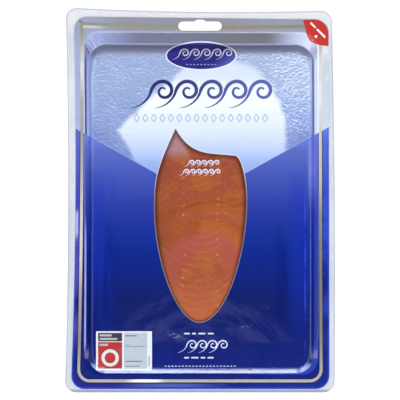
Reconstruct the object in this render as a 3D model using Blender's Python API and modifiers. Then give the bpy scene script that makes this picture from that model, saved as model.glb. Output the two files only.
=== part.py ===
"""Flat vacuum pack of smoked salmon, lying on its back with the printed lid film up.

A clear formed base film carries a stiff backing board with the salmon on it. The lid film is
sealed to the flange of the base and drawn by the vacuum into a groove round the board. The board
has slid down, so the groove is wide at the top edge and almost shut at the bottom edge. A hang
slot is punched through both films, in the header band above the groove, and that band of each
film is a solid of its own. A clear window in the lid shows the salmon.

Metres. +Z points out of the lid, +Y towards the hang slot, and the origin lies under the middle
of the pack on the surface that it rests on.
"""
import math

import bmesh
import bpy

MM = 0.001

# Whole pack
PACK_WIDTH = 199.4 * MM
PACK_LENGTH = 284.0 * MM
FILM_GAP = 0.3 * MM        # between pieces that touch
BASE_FILM = 0.4 * MM       # thickness of the formed base film
LID_FILM = 0.4 * MM        # thickness of the lid film
CORNER_STEPS = 5           # faces round each rounded corner
SIDE_STEPS = 6             # faces along each side

# Heights above the resting surface
FLANGE_TOP = 6.0 * MM      # upper face of the base flange
BOARD_BOTTOM = 0.7 * MM
BOARD_THICKNESS = 1.0 * MM
LOWER_SALMON = (2.0 * MM, 6.0 * MM)
MIDDLE_SLICE = (3.6 * MM, 6.4 * MM)
UPPER_SLICE = (5.2 * MM, 6.8 * MM)
PLATEAU_TOP = 7.5 * MM     # upper face of the lid over the salmon
GROOVE_LEVELS = (          # upper face of the lid in the groove, by distance along Y
    (-127.0 * MM, 6.3 * MM),
    (-104.0 * MM, 4.2 * MM),
    (88.0 * MM, 3.7 * MM),
    (112.0 * MM, 2.7 * MM),
)

# Cavity of the base film
WALL_DRAFT = 1.8 * MM      # how far the wall leans in from flange to floor
NEST_GAP = 0.8 * MM        # the cavity mouth lies this far outside the fold of the lid
FLOOR_CURVE = 1.0 * MM     # size of the small slope between wall and floor

# Lid shoulder round the board
SHOULDER_WIDTH = 6.6 * MM
SHOULDER_BOTTOM_SHARE = 0.5  # it is this much narrower at the bottom end
SHOULDER_STEPS = 4

# Hang slot
SLOT_WIDTH = 32.0 * MM
SLOT_HEIGHT = 6.8 * MM
SLOT_Y = 128.2 * MM
HUMP_WIDTH = 7.7 * MM
HUMP_RISE = 1.4 * MM

# Header band of the films, above the groove
HEADER_FOOT = 124.2 * MM

# Gold frame line on the flange
GOLD_WIDTH = 2.4 * MM
GOLD_THICKNESS = 0.3 * MM

# Label sticker
LABEL_SIZE = (41.2 * MM, 28.8 * MM)
LABEL_CENTRE = (-56.0 * MM, -111.1 * MM)
LABEL_THICKNESS = 0.3 * MM
LABEL_CORNER = 0.8 * MM

CUT_REACH = 5.0 * MM       # how far a cutter sticks out beyond what it cuts


class Frame:
    """A rounded four-sided outline whose sides may bow.

    left and right are the X of the corners at the top and at the bottom end, and top is the Y of
    the left and right top corners. A bow is the offset at the middle of a side, along +X or +Y.
    """

    def __init__(self, left, right, bottom, top, radius, bows=(0.0, 0.0, 0.0)):
        self.left = left
        self.right = right
        self.bottom = bottom
        self.top = top
        self.radius = radius
        self.bow_left, self.bow_right, self.bow_top = bows

    def inset(self, distance, bottom_share=1.0):
        """The same outline moved inwards by distance, and by a share of it at the bottom."""
        return Frame(
            (self.left[0] + distance, self.left[1] + distance),
            (self.right[0] - distance, self.right[1] - distance),
            self.bottom + distance * bottom_share,
            (self.top[0] - distance, self.top[1] - distance),
            max(self.radius - distance, 0.5 * MM),
            (self.bow_left, self.bow_right, self.bow_top),
        )

    def points(self):
        """Counter-clockwise points from the right end of the top right corner."""
        r = self.radius
        corners = (
            (self.right[0] - r, self.top[1] - r, 0.0, (0.0, self.bow_top)),
            (self.left[0] + r, self.top[0] - r, 90.0, (self.bow_left, 0.0)),
            (self.left[1] + r, self.bottom + r, 180.0, (0.0, 0.0)),
            (self.right[1] - r, self.bottom + r, 270.0, (self.bow_right, 0.0)),
        )
        arcs = []
        for x, y, start, bow in corners:
            arcs.append([on_circle(x, y, r, start + 90.0 * i / CORNER_STEPS)
                         for i in range(CORNER_STEPS + 1)])
        points = []
        for i, arc in enumerate(arcs):
            bow = corners[i][3]
            points += arc
            points += bowed_side(arc[-1], arcs[(i + 1) % 4][0], bow)
        return points


def on_circle(x, y, radius, degrees):
    """A point on a circle."""
    angle = math.radians(degrees)
    return (x + radius * math.cos(angle), y + radius * math.sin(angle))


def bowed_side(start, end, bow):
    """The points between start and end, pushed out by a parabola of height bow."""
    points = []
    for i in range(1, SIDE_STEPS):
        t = i / SIDE_STEPS
        lift = 4.0 * t * (1.0 - t)
        points.append((start[0] + (end[0] - start[0]) * t + bow[0] * lift,
                       start[1] + (end[1] - start[1]) * t + bow[1] * lift))
    return points


def level_at(y, levels):
    """The height at y, read between the stops of levels."""
    if y <= levels[0][0]:
        return levels[0][1]
    for (y0, z0), (y1, z1) in zip(levels, levels[1:]):
        if y <= y1:
            return z0 + (z1 - z0) * (y - y0) / (y1 - y0)
    return levels[-1][1]


# Outlines seen from above
HALF_W = PACK_WIDTH / 2.0
HALF_L = PACK_LENGTH / 2.0
PACK_EDGE = Frame(
    left=(-HALF_W + 0.6 * MM, -HALF_W),
    right=(HALF_W - 2.6 * MM, HALF_W - 0.4 * MM),
    bottom=-HALF_L,
    top=(HALF_L, HALF_L - 2.2 * MM),
    radius=8.6 * MM,
    bows=(2.2 * MM, 1.28 * MM, -2.2 * MM),
)
CAVITY_MOUTH = Frame(      # where the lid folds down from the flange
    left=(-85.6 * MM, -85.6 * MM),
    right=(86.8 * MM, 87.0 * MM),
    bottom=-128.9 * MM,
    top=(124.0 * MM, 123.4 * MM),
    radius=12.0 * MM,
    bows=(0.6 * MM, 0.3 * MM, -0.3 * MM),
)
GROOVE_LINE = Frame(       # the lowest line of the lid, along the edge of the board
    left=(-82.2 * MM, -82.2 * MM),
    right=(83.4 * MM, 83.7 * MM),
    bottom=-127.8 * MM,
    top=(115.2 * MM, 114.8 * MM),
    radius=13.0 * MM,
    bows=(0.6 * MM, 0.3 * MM, -0.2 * MM),
)
GOLD_LINE = Frame(         # outer edge of the gold frame line
    left=(-88.9 * MM, -90.7 * MM),
    right=(89.8 * MM, 90.6 * MM),
    bottom=-134.7 * MM,
    top=(131.2 * MM, 129.4 * MM),
    radius=9.6 * MM,
    bows=(0.8 * MM, 0.4 * MM, -1.0 * MM),
)
BOARD_INSET = 1.5 * MM     # the board ends this far inside the groove line
SALMON_EDGE = Frame(       # outline of the lower layer of salmon
    left=(-70.0 * MM, -71.5 * MM),
    right=(71.0 * MM, 72.5 * MM),
    bottom=-118.0 * MM,
    top=(103.0 * MM, 101.0 * MM),
    radius=26.0 * MM,
    bows=(2.0 * MM, -1.5 * MM, 2.0 * MM),
)
RIPPLE = 0.8 * MM          # how uneven the outline of the lower salmon is

# Shingled slices: centre, half sizes and turn in degrees of their oval outlines
MIDDLE_OVAL = ((2.0 * MM, -50.0 * MM), (58.0 * MM, 50.0 * MM), 12.0)
UPPER_OVAL = ((3.0 * MM, -60.0 * MM), (44.0 * MM, 46.5 * MM), 14.0)
OVAL_POWER = 2.2           # 2 is an ellipse, higher is squarer
OVAL_STEPS = 48
SLICE_ROUNDING = 0.5 * MM

# Window outline: its corner points, with the sides between them as Bezier curves
WINDOW_TIP = (-18.0 * MM, 53.0 * MM)
WINDOW_SHOULDER = (26.0 * MM, 32.9 * MM)
WINDOW_RIGHT = (34.6 * MM, -0.7 * MM)
WINDOW_FOOT = (-0.4 * MM, -90.3 * MM)
WINDOW_LEFT = (-33.7 * MM, -5.9 * MM)
WINDOW_SIDES = (           # the two control points of each side, clockwise from the tip
    ((-6.4 * MM, 32.0 * MM), (6.7 * MM, 35.2 * MM)),
    ((31.2 * MM, 31.6 * MM), (34.6 * MM, 14.2 * MM)),
    ((34.6 * MM, -41.1 * MM), (18.5 * MM, -90.3 * MM)),
    ((-16.5 * MM, -90.3 * MM), (-33.7 * MM, -46.3 * MM)),
    ((-33.7 * MM, 16.0 * MM), (-32.0 * MM, 24.0 * MM)),
)
CURVE_STEPS = 10


def clear_scene():
    """Remove every object of the open scene."""
    for obj in list(bpy.data.objects):
        bpy.data.objects.remove(obj, do_unlink=True)


def new_collection(name):
    """A collection linked to the scene."""
    collection = bpy.data.collections.new(name)
    bpy.context.scene.collection.children.link(collection)
    return collection


def new_material(name, colour, roughness, metallic=0.0, alpha=1.0):
    """A Principled material."""
    material = bpy.data.materials.new(name)
    material.use_nodes = True
    shader = material.node_tree.nodes["Principled BSDF"]
    shader.inputs["Base Color"].default_value = (*colour, 1.0)
    shader.inputs["Roughness"].default_value = roughness
    shader.inputs["Metallic"].default_value = metallic
    shader.inputs["Alpha"].default_value = alpha
    return material


def new_object(name, mesh, collection, material=None):
    """An object with that mesh, in that collection."""
    obj = bpy.data.objects.new(name, mesh)
    collection.objects.link(obj)
    if material:
        mesh.materials.append(material)
    return obj


def finish_mesh(bm, name):
    """Turn the faces outwards and store them in a mesh."""
    bmesh.ops.recalc_face_normals(bm, faces=bm.faces)
    mesh = bpy.data.meshes.new(name)
    bm.to_mesh(mesh)
    bm.free()
    return mesh


def add_ring(bm, points, height):
    """A ring of vertices at height, which is a number or a function of (x, y)."""
    ring = []
    for x, y in points:
        z = height(x, y) if callable(height) else height
        ring.append(bm.verts.new((x, y, z)))
    return ring


def join_rings(bm, first, second):
    """A band of quads between two rings of the same count."""
    count = len(first)
    for i in range(count):
        j = (i + 1) % count
        bm.faces.new((first[i], first[j], second[j], second[i]))


def loft(name, sections, close_start, close_end):
    """A mesh through sections, each a pair of points and height.

    The start and the end are filled with one face each where that is asked for.
    """
    bm = bmesh.new()
    rings = [add_ring(bm, points, height) for points, height in sections]
    for first, second in zip(rings, rings[1:]):
        join_rings(bm, first, second)
    if close_start:
        bm.faces.new(rings[0])
    if close_end:
        bm.faces.new(rings[-1])
    return finish_mesh(bm, name)


def thicken(obj, thickness):
    """Give an open sheet its thickness, on the side that its normals point away from."""
    solidify = obj.modifiers.new("thickness", "SOLIDIFY")
    solidify.thickness = thickness
    solidify.offset = -1.0
    solidify.use_even_offset = True
    solidify.use_rim = True


def cut(obj, cutter, operation="DIFFERENCE"):
    """Take the shape of cutter out of obj, or with INTERSECT everything outside it."""
    boolean = obj.modifiers.new("cut_" + cutter.name, "BOOLEAN")
    boolean.operation = operation
    boolean.solver = "EXACT"
    boolean.object = cutter


def new_cutter(name, points, bottom, top, cutters):
    """A hidden prism that cuts its outline out of other pieces."""
    mesh = loft(name, [(points, bottom), (points, top)], True, True)
    cutter = new_object(name, mesh, cutters)
    cutter.hide_render = True
    cutter.display_type = "WIRE"
    return cutter


def point_sheet_normals(mesh, upwards):
    """Turn an open sheet so that its widest face looks up or down."""
    bm = bmesh.new()
    bm.from_mesh(mesh)
    widest = max(bm.faces, key=lambda face: face.calc_area())
    if (widest.normal.z > 0.0) != upwards:
        bmesh.ops.reverse_faces(bm, faces=bm.faces)
    bm.to_mesh(mesh)
    bm.free()


def smooth_round(mesh, sharp_degrees):
    """Smooth shading with edges kept where faces meet at more than sharp_degrees."""
    mesh.shade_smooth()
    mesh.set_sharp_from_angle(angle=math.radians(sharp_degrees))


def slot_outline():
    """Hang slot: a bar with round ends and a round hump on its upper side."""
    end = SLOT_HEIGHT / 2.0
    reach = SLOT_WIDTH / 2.0 - end
    steps = 8
    points = [on_circle(reach, SLOT_Y, end, -90.0 + 180.0 * i / steps) for i in range(steps + 1)]
    for i in range(steps + 1):
        angle = math.pi * i / steps
        points.append((HUMP_WIDTH / 2.0 * math.cos(angle),
                       SLOT_Y + end + HUMP_RISE * math.sin(angle)))
    points += [on_circle(-reach, SLOT_Y, end, 90.0 + 180.0 * i / steps) for i in range(steps + 1)]
    return points


def bezier(start, handle_a, handle_b, end, steps):
    """Points of a cubic Bezier curve from start up to, and without, end."""
    points = []
    for i in range(steps):
        t = i / steps
        s = 1.0 - t
        weights = (s * s * s, 3.0 * s * s * t, 3.0 * s * t * t, t * t * t)
        corners = (start, handle_a, handle_b, end)
        points.append((sum(w * c[0] for w, c in zip(weights, corners)),
                       sum(w * c[1] for w, c in zip(weights, corners))))
    return points


def window_outline():
    """Outline of the window: a fillet with a pointed tip, a hollow top edge and a round foot."""
    stops = (WINDOW_TIP, WINDOW_SHOULDER, WINDOW_RIGHT, WINDOW_FOOT, WINDOW_LEFT)
    points = []
    for i, start in enumerate(stops):
        handle_a, handle_b = WINDOW_SIDES[i]
        points += bezier(start, handle_a, handle_b, stops[(i + 1) % len(stops)], CURVE_STEPS)
    return points[::-1]


def inset_outline(points, distance):
    """Move a counter-clockwise outline inwards by distance, with mitred corners."""
    count = len(points)
    moved = []
    for i, (x, y) in enumerate(points):
        before = edge_normal(points[i - 1], (x, y))
        after = edge_normal((x, y), points[(i + 1) % count])
        mitre = (before[0] + after[0], before[1] + after[1])
        square = max(mitre[0] ** 2 + mitre[1] ** 2, 0.4)
        scale = 2.0 * distance / square
        moved.append((x + mitre[0] * scale, y + mitre[1] * scale))
    return moved


def edge_normal(start, end):
    """Unit normal to the left of the line from start to end."""
    dx = end[0] - start[0]
    dy = end[1] - start[1]
    length = math.hypot(dx, dy)
    return (-dy / length, dx / length)


def oval_outline(oval, grow=0.0):
    """Outline of a slice: a turned superellipse, counter-clockwise."""
    (cx, cy), (half_x, half_y), turn = oval
    sine = math.sin(math.radians(turn))
    cosine = math.cos(math.radians(turn))
    points = []
    for i in range(OVAL_STEPS):
        angle = 2.0 * math.pi * i / OVAL_STEPS
        x = (half_x + grow) * signed_power(math.cos(angle), 2.0 / OVAL_POWER)
        y = (half_y + grow) * signed_power(math.sin(angle), 2.0 / OVAL_POWER)
        points.append((cx + x * cosine - y * sine, cy + x * sine + y * cosine))
    return points


def signed_power(value, power):
    """value to a power, with its sign kept."""
    return math.copysign(abs(value) ** power, value)


def rippled(points, height):
    """An uneven copy of an outline, pushed in and out along the line from its middle."""
    uneven = []
    for x, y in points:
        angle = math.atan2(y, x)
        push = height * (math.sin(5.0 * angle + 0.6) + 0.6 * math.sin(9.0 * angle + 2.1))
        uneven.append((x + push * math.cos(angle), y + push * math.sin(angle)))
    return uneven


def slab_sections(points, bottom, top, rounding):
    """Sections of a flat slab whose two rims are taken off by rounding."""
    smaller = inset_outline(points, rounding)
    return [(smaller, bottom), (points, bottom + rounding), (points, top - rounding), (smaller, top)]


def new_header_band(name, foot, cutters):
    """A hidden block over everything above foot."""
    side, end = HALF_W + CUT_REACH, HALF_L + CUT_REACH
    corners = [(-side, foot), (side, foot), (side, end), (-side, end)]
    return new_cutter(name, corners, -CUT_REACH, PLATEAU_TOP + CUT_REACH, cutters)


def build_base(parts, material, slot, header, header_room):
    """Clear base film: flat flange, leaning wall and floor, with the hang slot in its header."""
    outside = CAVITY_MOUTH.inset(-NEST_GAP)
    flange = FLANGE_TOP - BASE_FILM
    sections = [
        (PACK_EDGE.points(), flange),
        (outside.points(), flange),
        (outside.inset(WALL_DRAFT).points(), FLOOR_CURVE),
        (outside.inset(WALL_DRAFT + FLOOR_CURVE).points(), 0.0),
    ]
    films = []
    for name in ("base_film", "base_film_header"):
        mesh = loft(name, sections, False, True)
        point_sheet_normals(mesh, upwards=False)
        film = new_object(name, mesh, parts, material)
        thicken(film, BASE_FILM)
        films.append(film)
    cut(films[0], header_room)
    cut(films[1], header, "INTERSECT")
    cut(films[1], slot)
    return films


def build_board(parts, material):
    """Backing board under the salmon."""
    edge = GROOVE_LINE.inset(BOARD_INSET).points()
    top = BOARD_BOTTOM + BOARD_THICKNESS
    mesh = loft("backing_board", [(edge, BOARD_BOTTOM), (edge, top)], True, True)
    smooth_round(mesh, 40.0)
    return new_object("backing_board", mesh, parts, material)


def build_salmon(parts, cutters, material):
    """Lower layer of salmon with the two shingled slices that lie in it."""
    edge = rippled(SALMON_EDGE.points(), RIPPLE)
    bottom, top = LOWER_SALMON
    mesh = loft("salmon_lower_layer", slab_sections(edge, bottom, top, SLICE_ROUNDING), True, True)
    lower = new_object("salmon_lower_layer", mesh, parts, material)
    built = [lower]
    for name, oval, (bottom, top) in (
        ("salmon_slice_middle", MIDDLE_OVAL, MIDDLE_SLICE),
        ("salmon_slice_upper", UPPER_OVAL, UPPER_SLICE),
    ):
        outline = oval_outline(oval)
        mesh = loft(name, slab_sections(outline, bottom, top, SLICE_ROUNDING), True, True)
        smooth_round(mesh, 50.0)
        room = oval_outline(oval, FILM_GAP)
        cutter = new_cutter("room_for_" + name, room, bottom - FILM_GAP, top + CUT_REACH, cutters)
        for piece in built:
            cut(piece, cutter)
        built.append(new_object(name, mesh, parts, material))
    return built


def build_lid(parts, material, slot, window, header, header_room):
    """Lid film: flat on the flange, down into the groove and up over the round shoulder."""
    flange = FLANGE_TOP + FILM_GAP + LID_FILM
    sections = [
        (PACK_EDGE.points(), flange),
        (CAVITY_MOUTH.points(), flange),
        (GROOVE_LINE.points(), lambda x, y: level_at(y, GROOVE_LEVELS)),
    ]
    for i in range(1, SHOULDER_STEPS + 1):
        share = i / SHOULDER_STEPS
        rise = math.sin(share * math.pi / 2.0)

        def height(x, y, rise=rise):
            low = level_at(y, GROOVE_LEVELS)
            return low + (PLATEAU_TOP - low) * rise

        ring = GROOVE_LINE.inset(SHOULDER_WIDTH * share, SHOULDER_BOTTOM_SHARE)
        sections.append((ring.points(), height))
    sections[-1] = (sections[-1][0], PLATEAU_TOP)
    films = []
    for name in ("lid_film", "lid_film_header"):
        mesh = loft(name, sections, False, True)
        point_sheet_normals(mesh, upwards=True)
        smooth_round(mesh, 30.0)
        film = new_object(name, mesh, parts, material)
        thicken(film, LID_FILM)
        films.append(film)
    cut(films[0], header_room)
    cut(films[0], window)
    cut(films[1], header, "INTERSECT")
    cut(films[1], slot)
    return films


def build_window(parts, material, outline):
    """Clear pane in the window of the lid."""
    edge = inset_outline(outline, FILM_GAP)
    sections = [(edge, PLATEAU_TOP - LID_FILM), (edge, PLATEAU_TOP)]
    mesh = loft("window_pane", sections, True, True)
    return new_object("window_pane", mesh, parts, material)


def build_gold_line(parts, material, slot):
    """Gold frame line on the flange, broken by the hang slot."""
    bottom = FLANGE_TOP + FILM_GAP + LID_FILM + FILM_GAP
    top = bottom + GOLD_THICKNESS
    outer = GOLD_LINE.points()
    inner = GOLD_LINE.inset(GOLD_WIDTH).points()
    bm = bmesh.new()
    rings = [add_ring(bm, outer, bottom), add_ring(bm, outer, top),
             add_ring(bm, inner, top), add_ring(bm, inner, bottom)]
    for i, ring in enumerate(rings):
        join_rings(bm, ring, rings[(i + 1) % len(rings)])
    line = new_object("gold_line", finish_mesh(bm, "gold_line"), parts, material)
    cut(line, slot)
    return line


def build_label(parts, material):
    """Label sticker on the lower left of the lid."""
    half_x, half_y = LABEL_SIZE[0] / 2.0, LABEL_SIZE[1] / 2.0
    x, y = LABEL_CENTRE
    frame = Frame((x - half_x, x - half_x), (x + half_x, x + half_x), y - half_y,
                  (y + half_y, y + half_y), LABEL_CORNER)
    bottom = PLATEAU_TOP + FILM_GAP
    edge = frame.points()
    mesh = loft("label_sticker", [(edge, bottom), (edge, bottom + LABEL_THICKNESS)], True, True)
    return new_object("label_sticker", mesh, parts, material)


def main():
    """Build every piece of the pack."""
    clear_scene()
    parts = new_collection("smoked_salmon_pack")
    cutters = new_collection("cutters")

    clear = new_material("clear_film", (0.86, 0.88, 0.92), 0.12, alpha=0.35)
    print_blue = new_material("printed_film", (0.03, 0.05, 0.33), 0.25, metallic=0.35)
    board = new_material("silver_board", (0.72, 0.72, 0.74), 0.4, metallic=0.5)
    salmon = new_material("smoked_salmon", (0.48, 0.11, 0.05), 0.35)
    gold = new_material("gold_print", (0.58, 0.49, 0.36), 0.3, metallic=0.8)
    paper = new_material("label_paper", (0.85, 0.85, 0.87), 0.5)

    slot = new_cutter("hang_slot", slot_outline(), 0.0, PLATEAU_TOP + CUT_REACH, cutters)
    outline = window_outline()
    window = new_cutter("window_opening", outline, 0.0, PLATEAU_TOP + CUT_REACH, cutters)
    header = new_header_band("header", HEADER_FOOT, cutters)
    header_room = new_header_band("header_room", HEADER_FOOT - FILM_GAP, cutters)

    build_base(parts, clear, slot, header, header_room)
    build_board(parts, board)
    build_salmon(parts, cutters, salmon)
    build_lid(parts, print_blue, slot, window, header, header_room)
    build_window(parts, clear, outline)
    build_gold_line(parts, gold, slot)
    build_label(parts, paper)


main()
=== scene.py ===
"""Looks of a flat vacuum pack of smoked salmon that lies on its back.

The pack is dressed from the inside out: backing board, salmon, clear base film, printed lid
film, window film, printed inks and the label sticker. Lengths inside the classes are in
millimetres, in the frame's own axes, and meshes are made in metres.
"""

import logging
import math
from dataclasses import dataclass, field
from enum import Enum
from typing import Callable, Optional, Sequence, Union

import bmesh
import bpy
import numpy as np
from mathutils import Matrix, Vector


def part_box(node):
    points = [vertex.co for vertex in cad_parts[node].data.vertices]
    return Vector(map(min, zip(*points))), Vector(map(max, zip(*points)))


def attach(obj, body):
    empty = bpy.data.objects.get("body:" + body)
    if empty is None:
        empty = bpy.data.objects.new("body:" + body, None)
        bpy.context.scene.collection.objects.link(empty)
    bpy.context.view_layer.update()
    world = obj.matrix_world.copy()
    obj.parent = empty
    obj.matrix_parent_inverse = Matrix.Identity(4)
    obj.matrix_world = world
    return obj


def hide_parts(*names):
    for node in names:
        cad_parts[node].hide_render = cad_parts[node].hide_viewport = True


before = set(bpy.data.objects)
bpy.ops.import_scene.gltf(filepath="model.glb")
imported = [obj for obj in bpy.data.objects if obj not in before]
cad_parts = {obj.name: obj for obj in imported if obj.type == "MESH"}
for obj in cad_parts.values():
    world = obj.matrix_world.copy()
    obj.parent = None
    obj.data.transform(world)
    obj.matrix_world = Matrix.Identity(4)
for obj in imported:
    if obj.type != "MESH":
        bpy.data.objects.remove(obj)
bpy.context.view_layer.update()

LOG = logging.getLogger("salmon_pack")
MM = 0.001
BODY = "root"
SLICE_MIDDLE = -1.5
SHARP_DEGREES = 50.0
Array = np.ndarray
Point = tuple[float, float]
Heights = Callable[[Array, Array], Array]
Colour = tuple[float, float, float]


def srgb(red: float, green: float, blue: float) -> Colour:
    """Give the linear colour of an sRGB colour with channels from 0 to 255."""
    shares = (channel / 255.0 for channel in (red, green, blue))
    return tuple(c / 12.92 if c <= 0.04045 else ((c + 0.055) / 1.055) ** 2.4 for c in shares)


def box_mm(node: str) -> tuple[Array, Array]:
    """Give the lowest and highest corner of a CAD node in millimetres."""
    low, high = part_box(node)
    return np.array(low) / MM, np.array(high) / MM


def smoothstep(value: Array, low: float, high: float) -> Array:
    """Ease from 0 at low to 1 at high."""
    t = np.clip((value - low) / (high - low), 0.0, 1.0)
    return t * t * (3.0 - 2.0 * t)


def arc(cx: float, cy: float, rx: float, ry: float, turns: Array) -> Array:
    """Give the points of an elliptic arc at the angles in turns."""
    return np.stack([cx + rx * np.cos(turns), cy + ry * np.sin(turns)], axis=1)


def soft_min(a: Array, b: Array, reach: float) -> Array:
    """Give the smaller of a and b, with the corner between them rounded over reach."""
    h = np.clip(0.5 + 0.5 * (b - a) / reach, 0.0, 1.0)
    return b * (1.0 - h) + a * h - reach * h * (1.0 - h)


# ---- Outlines and heights ----


@dataclass(frozen=True)
class Outline:
    """A rounded four-sided outline whose sides may bow.

    left and right are the X of the top and the bottom corner, and top is the Y of the left and
    the right top corner. bows are the offsets of the left, right and top side at their middle,
    and sharper is how much smaller the radius of the left top corner is.
    """

    left: Point
    right: Point
    bottom: float
    top: Point
    radius: float
    bows: tuple[float, float, float] = (0.0, 0.0, 0.0)
    sharper: float = 0.0

    def inset(self, distance: float) -> "Outline":
        """Give the same outline moved inwards by distance.

        Args:
            distance: how far, in millimetres.

        Returns:
            The smaller outline.
        """
        radius = max(self.radius - distance, 0.3)
        return Outline(
            (self.left[0] + distance, self.left[1] + distance),
            (self.right[0] - distance, self.right[1] - distance),
            self.bottom + distance, (self.top[0] - distance, self.top[1] - distance),
            radius, self.bows, min(self.sharper, radius - 0.2))

    @staticmethod
    def bowed(place: Array, span: Point, ends: Point,
              bow: float) -> Array:
        """Give a side at a place along it.

        Args:
            place: places along the side.
            span: where the side starts and ends.
            ends: its values there.
            bow: its offset at the middle.

        Returns:
            The side's values.
        """
        t = np.clip((place - span[0]) / (span[1] - span[0]), 0.0, 1.0)
        return ends[0] + (ends[1] - ends[0]) * t + bow * 4 * t * (1 - t)

    def left_at(self, y: Array) -> Array:
        """Give the X of the left side at y."""
        return self.bowed(y, (self.bottom, self.top[0]), self.left[::-1], self.bows[0])

    def right_at(self, y: Array) -> Array:
        """Give the X of the right side at y."""
        return self.bowed(y, (self.bottom, self.top[1]), self.right[::-1], self.bows[1])

    def top_at(self, x: Array) -> Array:
        """Give the Y of the top side at x."""
        return self.bowed(x, (self.left[0], self.right[0]), self.top, self.bows[2])

    def inside(self, x: Array, y: Array) -> Array:
        """Give the distance inside the outline, negative outside.

        Args:
            x: places along X.
            y: places along Y.

        Returns:
            The distances.
        """
        r = self.radius - np.where((x < 0.0) & (y > 0.0), self.sharper, 0.0)
        qx = np.maximum(self.left_at(y) + r - x, x - self.right_at(y) + r)
        qy = np.maximum(self.bottom + r - y, y - self.top_at(x) + r)
        outside = np.hypot(np.maximum(qx, 0.0), np.maximum(qy, 0.0))
        return r - outside - np.minimum(np.maximum(qx, qy), 0.0)

    def ring(self, long_steps: int, short_steps: int, corner_steps: int) -> Array:
        """Give counter-clockwise points from the bottom of the right side.

        Args:
            long_steps: how many points lie on each of the long sides.
            short_steps: how many points lie on each of the short sides.
            corner_steps: how many points lie on each corner arc.

        Returns:
            An array of (x, y) rows.
        """
        turns = np.linspace(0.0, math.pi / 2, corner_steps + 1)
        parts = []
        spans = (
            (self.right_at, self.top_at, 1.0, 1.0, 0.0),
            (self.left_at, self.top_at, -1.0, 1.0, math.pi / 2),
            (self.left_at, lambda x: x * 0.0 + self.bottom, -1.0, -1.0, math.pi),
            (self.right_at, lambda x: x * 0.0 + self.bottom, 1.0, -1.0, 1.5 * math.pi),
        )
        for side_x, side_y, sx, sy, start in spans:
            r = self.radius - (self.sharper if sx < 0.0 < sy else 0.0)
            x = np.full_like(turns, self.right[0] if sx > 0 else self.left[0])
            y = np.full_like(turns, self.top[0] if sy > 0 else self.bottom)
            for _ in range(6):
                x = side_x(y) - sx * r + r * np.cos(turns + start)
                y = side_y(x) - sy * r + r * np.sin(turns + start)
            parts.append(np.stack([x, y], axis=1))
        steps = (short_steps, long_steps, short_steps, long_steps)
        ring = []
        for i, corner in enumerate(parts):
            following = parts[(i + 1) % 4][0]
            ring.append(corner)
            t = np.linspace(0.0, 1.0, steps[i] + 2)[1:-1, None]
            side = corner[-1] * (1.0 - t) + following * t
            if i == 0:
                side[:, 1] = self.top_at(side[:, 0])
            elif i == 1:
                side[:, 0] = self.left_at(side[:, 1])
            elif i == 3:
                side[:, 0] = self.right_at(side[:, 1])
            ring.append(side)
        return np.concatenate(ring)


@dataclass(frozen=True)
class Oval:
    """Outline of a slice: a turned superellipse."""

    centre: Point
    half: Point
    turn: float
    power: float = 2.2

    def local(self, x: Array, y: Array) -> tuple[Array, Array]:
        """Give x and y in the oval's own axes, as shares of its half sizes.

        Args:
            x: places along X.
            y: places along Y.

        Returns:
            The shares along its two axes.
        """
        c, s = math.cos(math.radians(self.turn)), math.sin(math.radians(self.turn))
        dx, dy = x - self.centre[0], y - self.centre[1]
        return (dx * c + dy * s) / self.half[0], (dy * c - dx * s) / self.half[1]

    def inside(self, x: Array, y: Array) -> Array:
        """Give about how far x and y lie inside the oval."""
        u, v = (np.abs(part) ** self.power for part in self.local(x, y))
        return (1.0 - (u + v) ** (1.0 / self.power)) * min(self.half)

    def ring(self, steps: int, share: float) -> Array:
        """Give the points of the outline shrunk to share of its size.

        Args:
            steps: how many points it has.
            share: the share of the full size.

        Returns:
            An array of (x, y) rows.
        """
        a = np.linspace(0.0, 2.0 * math.pi, steps, endpoint=False)
        u = np.sign(np.cos(a)) * np.abs(np.cos(a)) ** (2.0 / self.power) * self.half[0] * share
        v = np.sign(np.sin(a)) * np.abs(np.sin(a)) ** (2.0 / self.power) * self.half[1] * share
        c, s = math.cos(math.radians(self.turn)), math.sin(math.radians(self.turn))
        return np.stack([self.centre[0] + u * c - v * s, self.centre[1] + u * s + v * c], axis=1)


def bezier(corners: Sequence[Point], steps: int) -> Array:
    """Give points of a cubic Bezier curve, without its last one.

    Args:
        corners: its four control points.
        steps: how many points it has.

    Returns:
        An array of (x, y) rows.
    """
    t = np.linspace(0.0, 1.0, steps, endpoint=False)[:, None]
    a, b, c, d = (np.array(corner) for corner in corners)
    s = 1.0 - t
    return s**3 * a + 3 * s * s * t * b + 3 * s * t * t * c + t**3 * d


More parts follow.
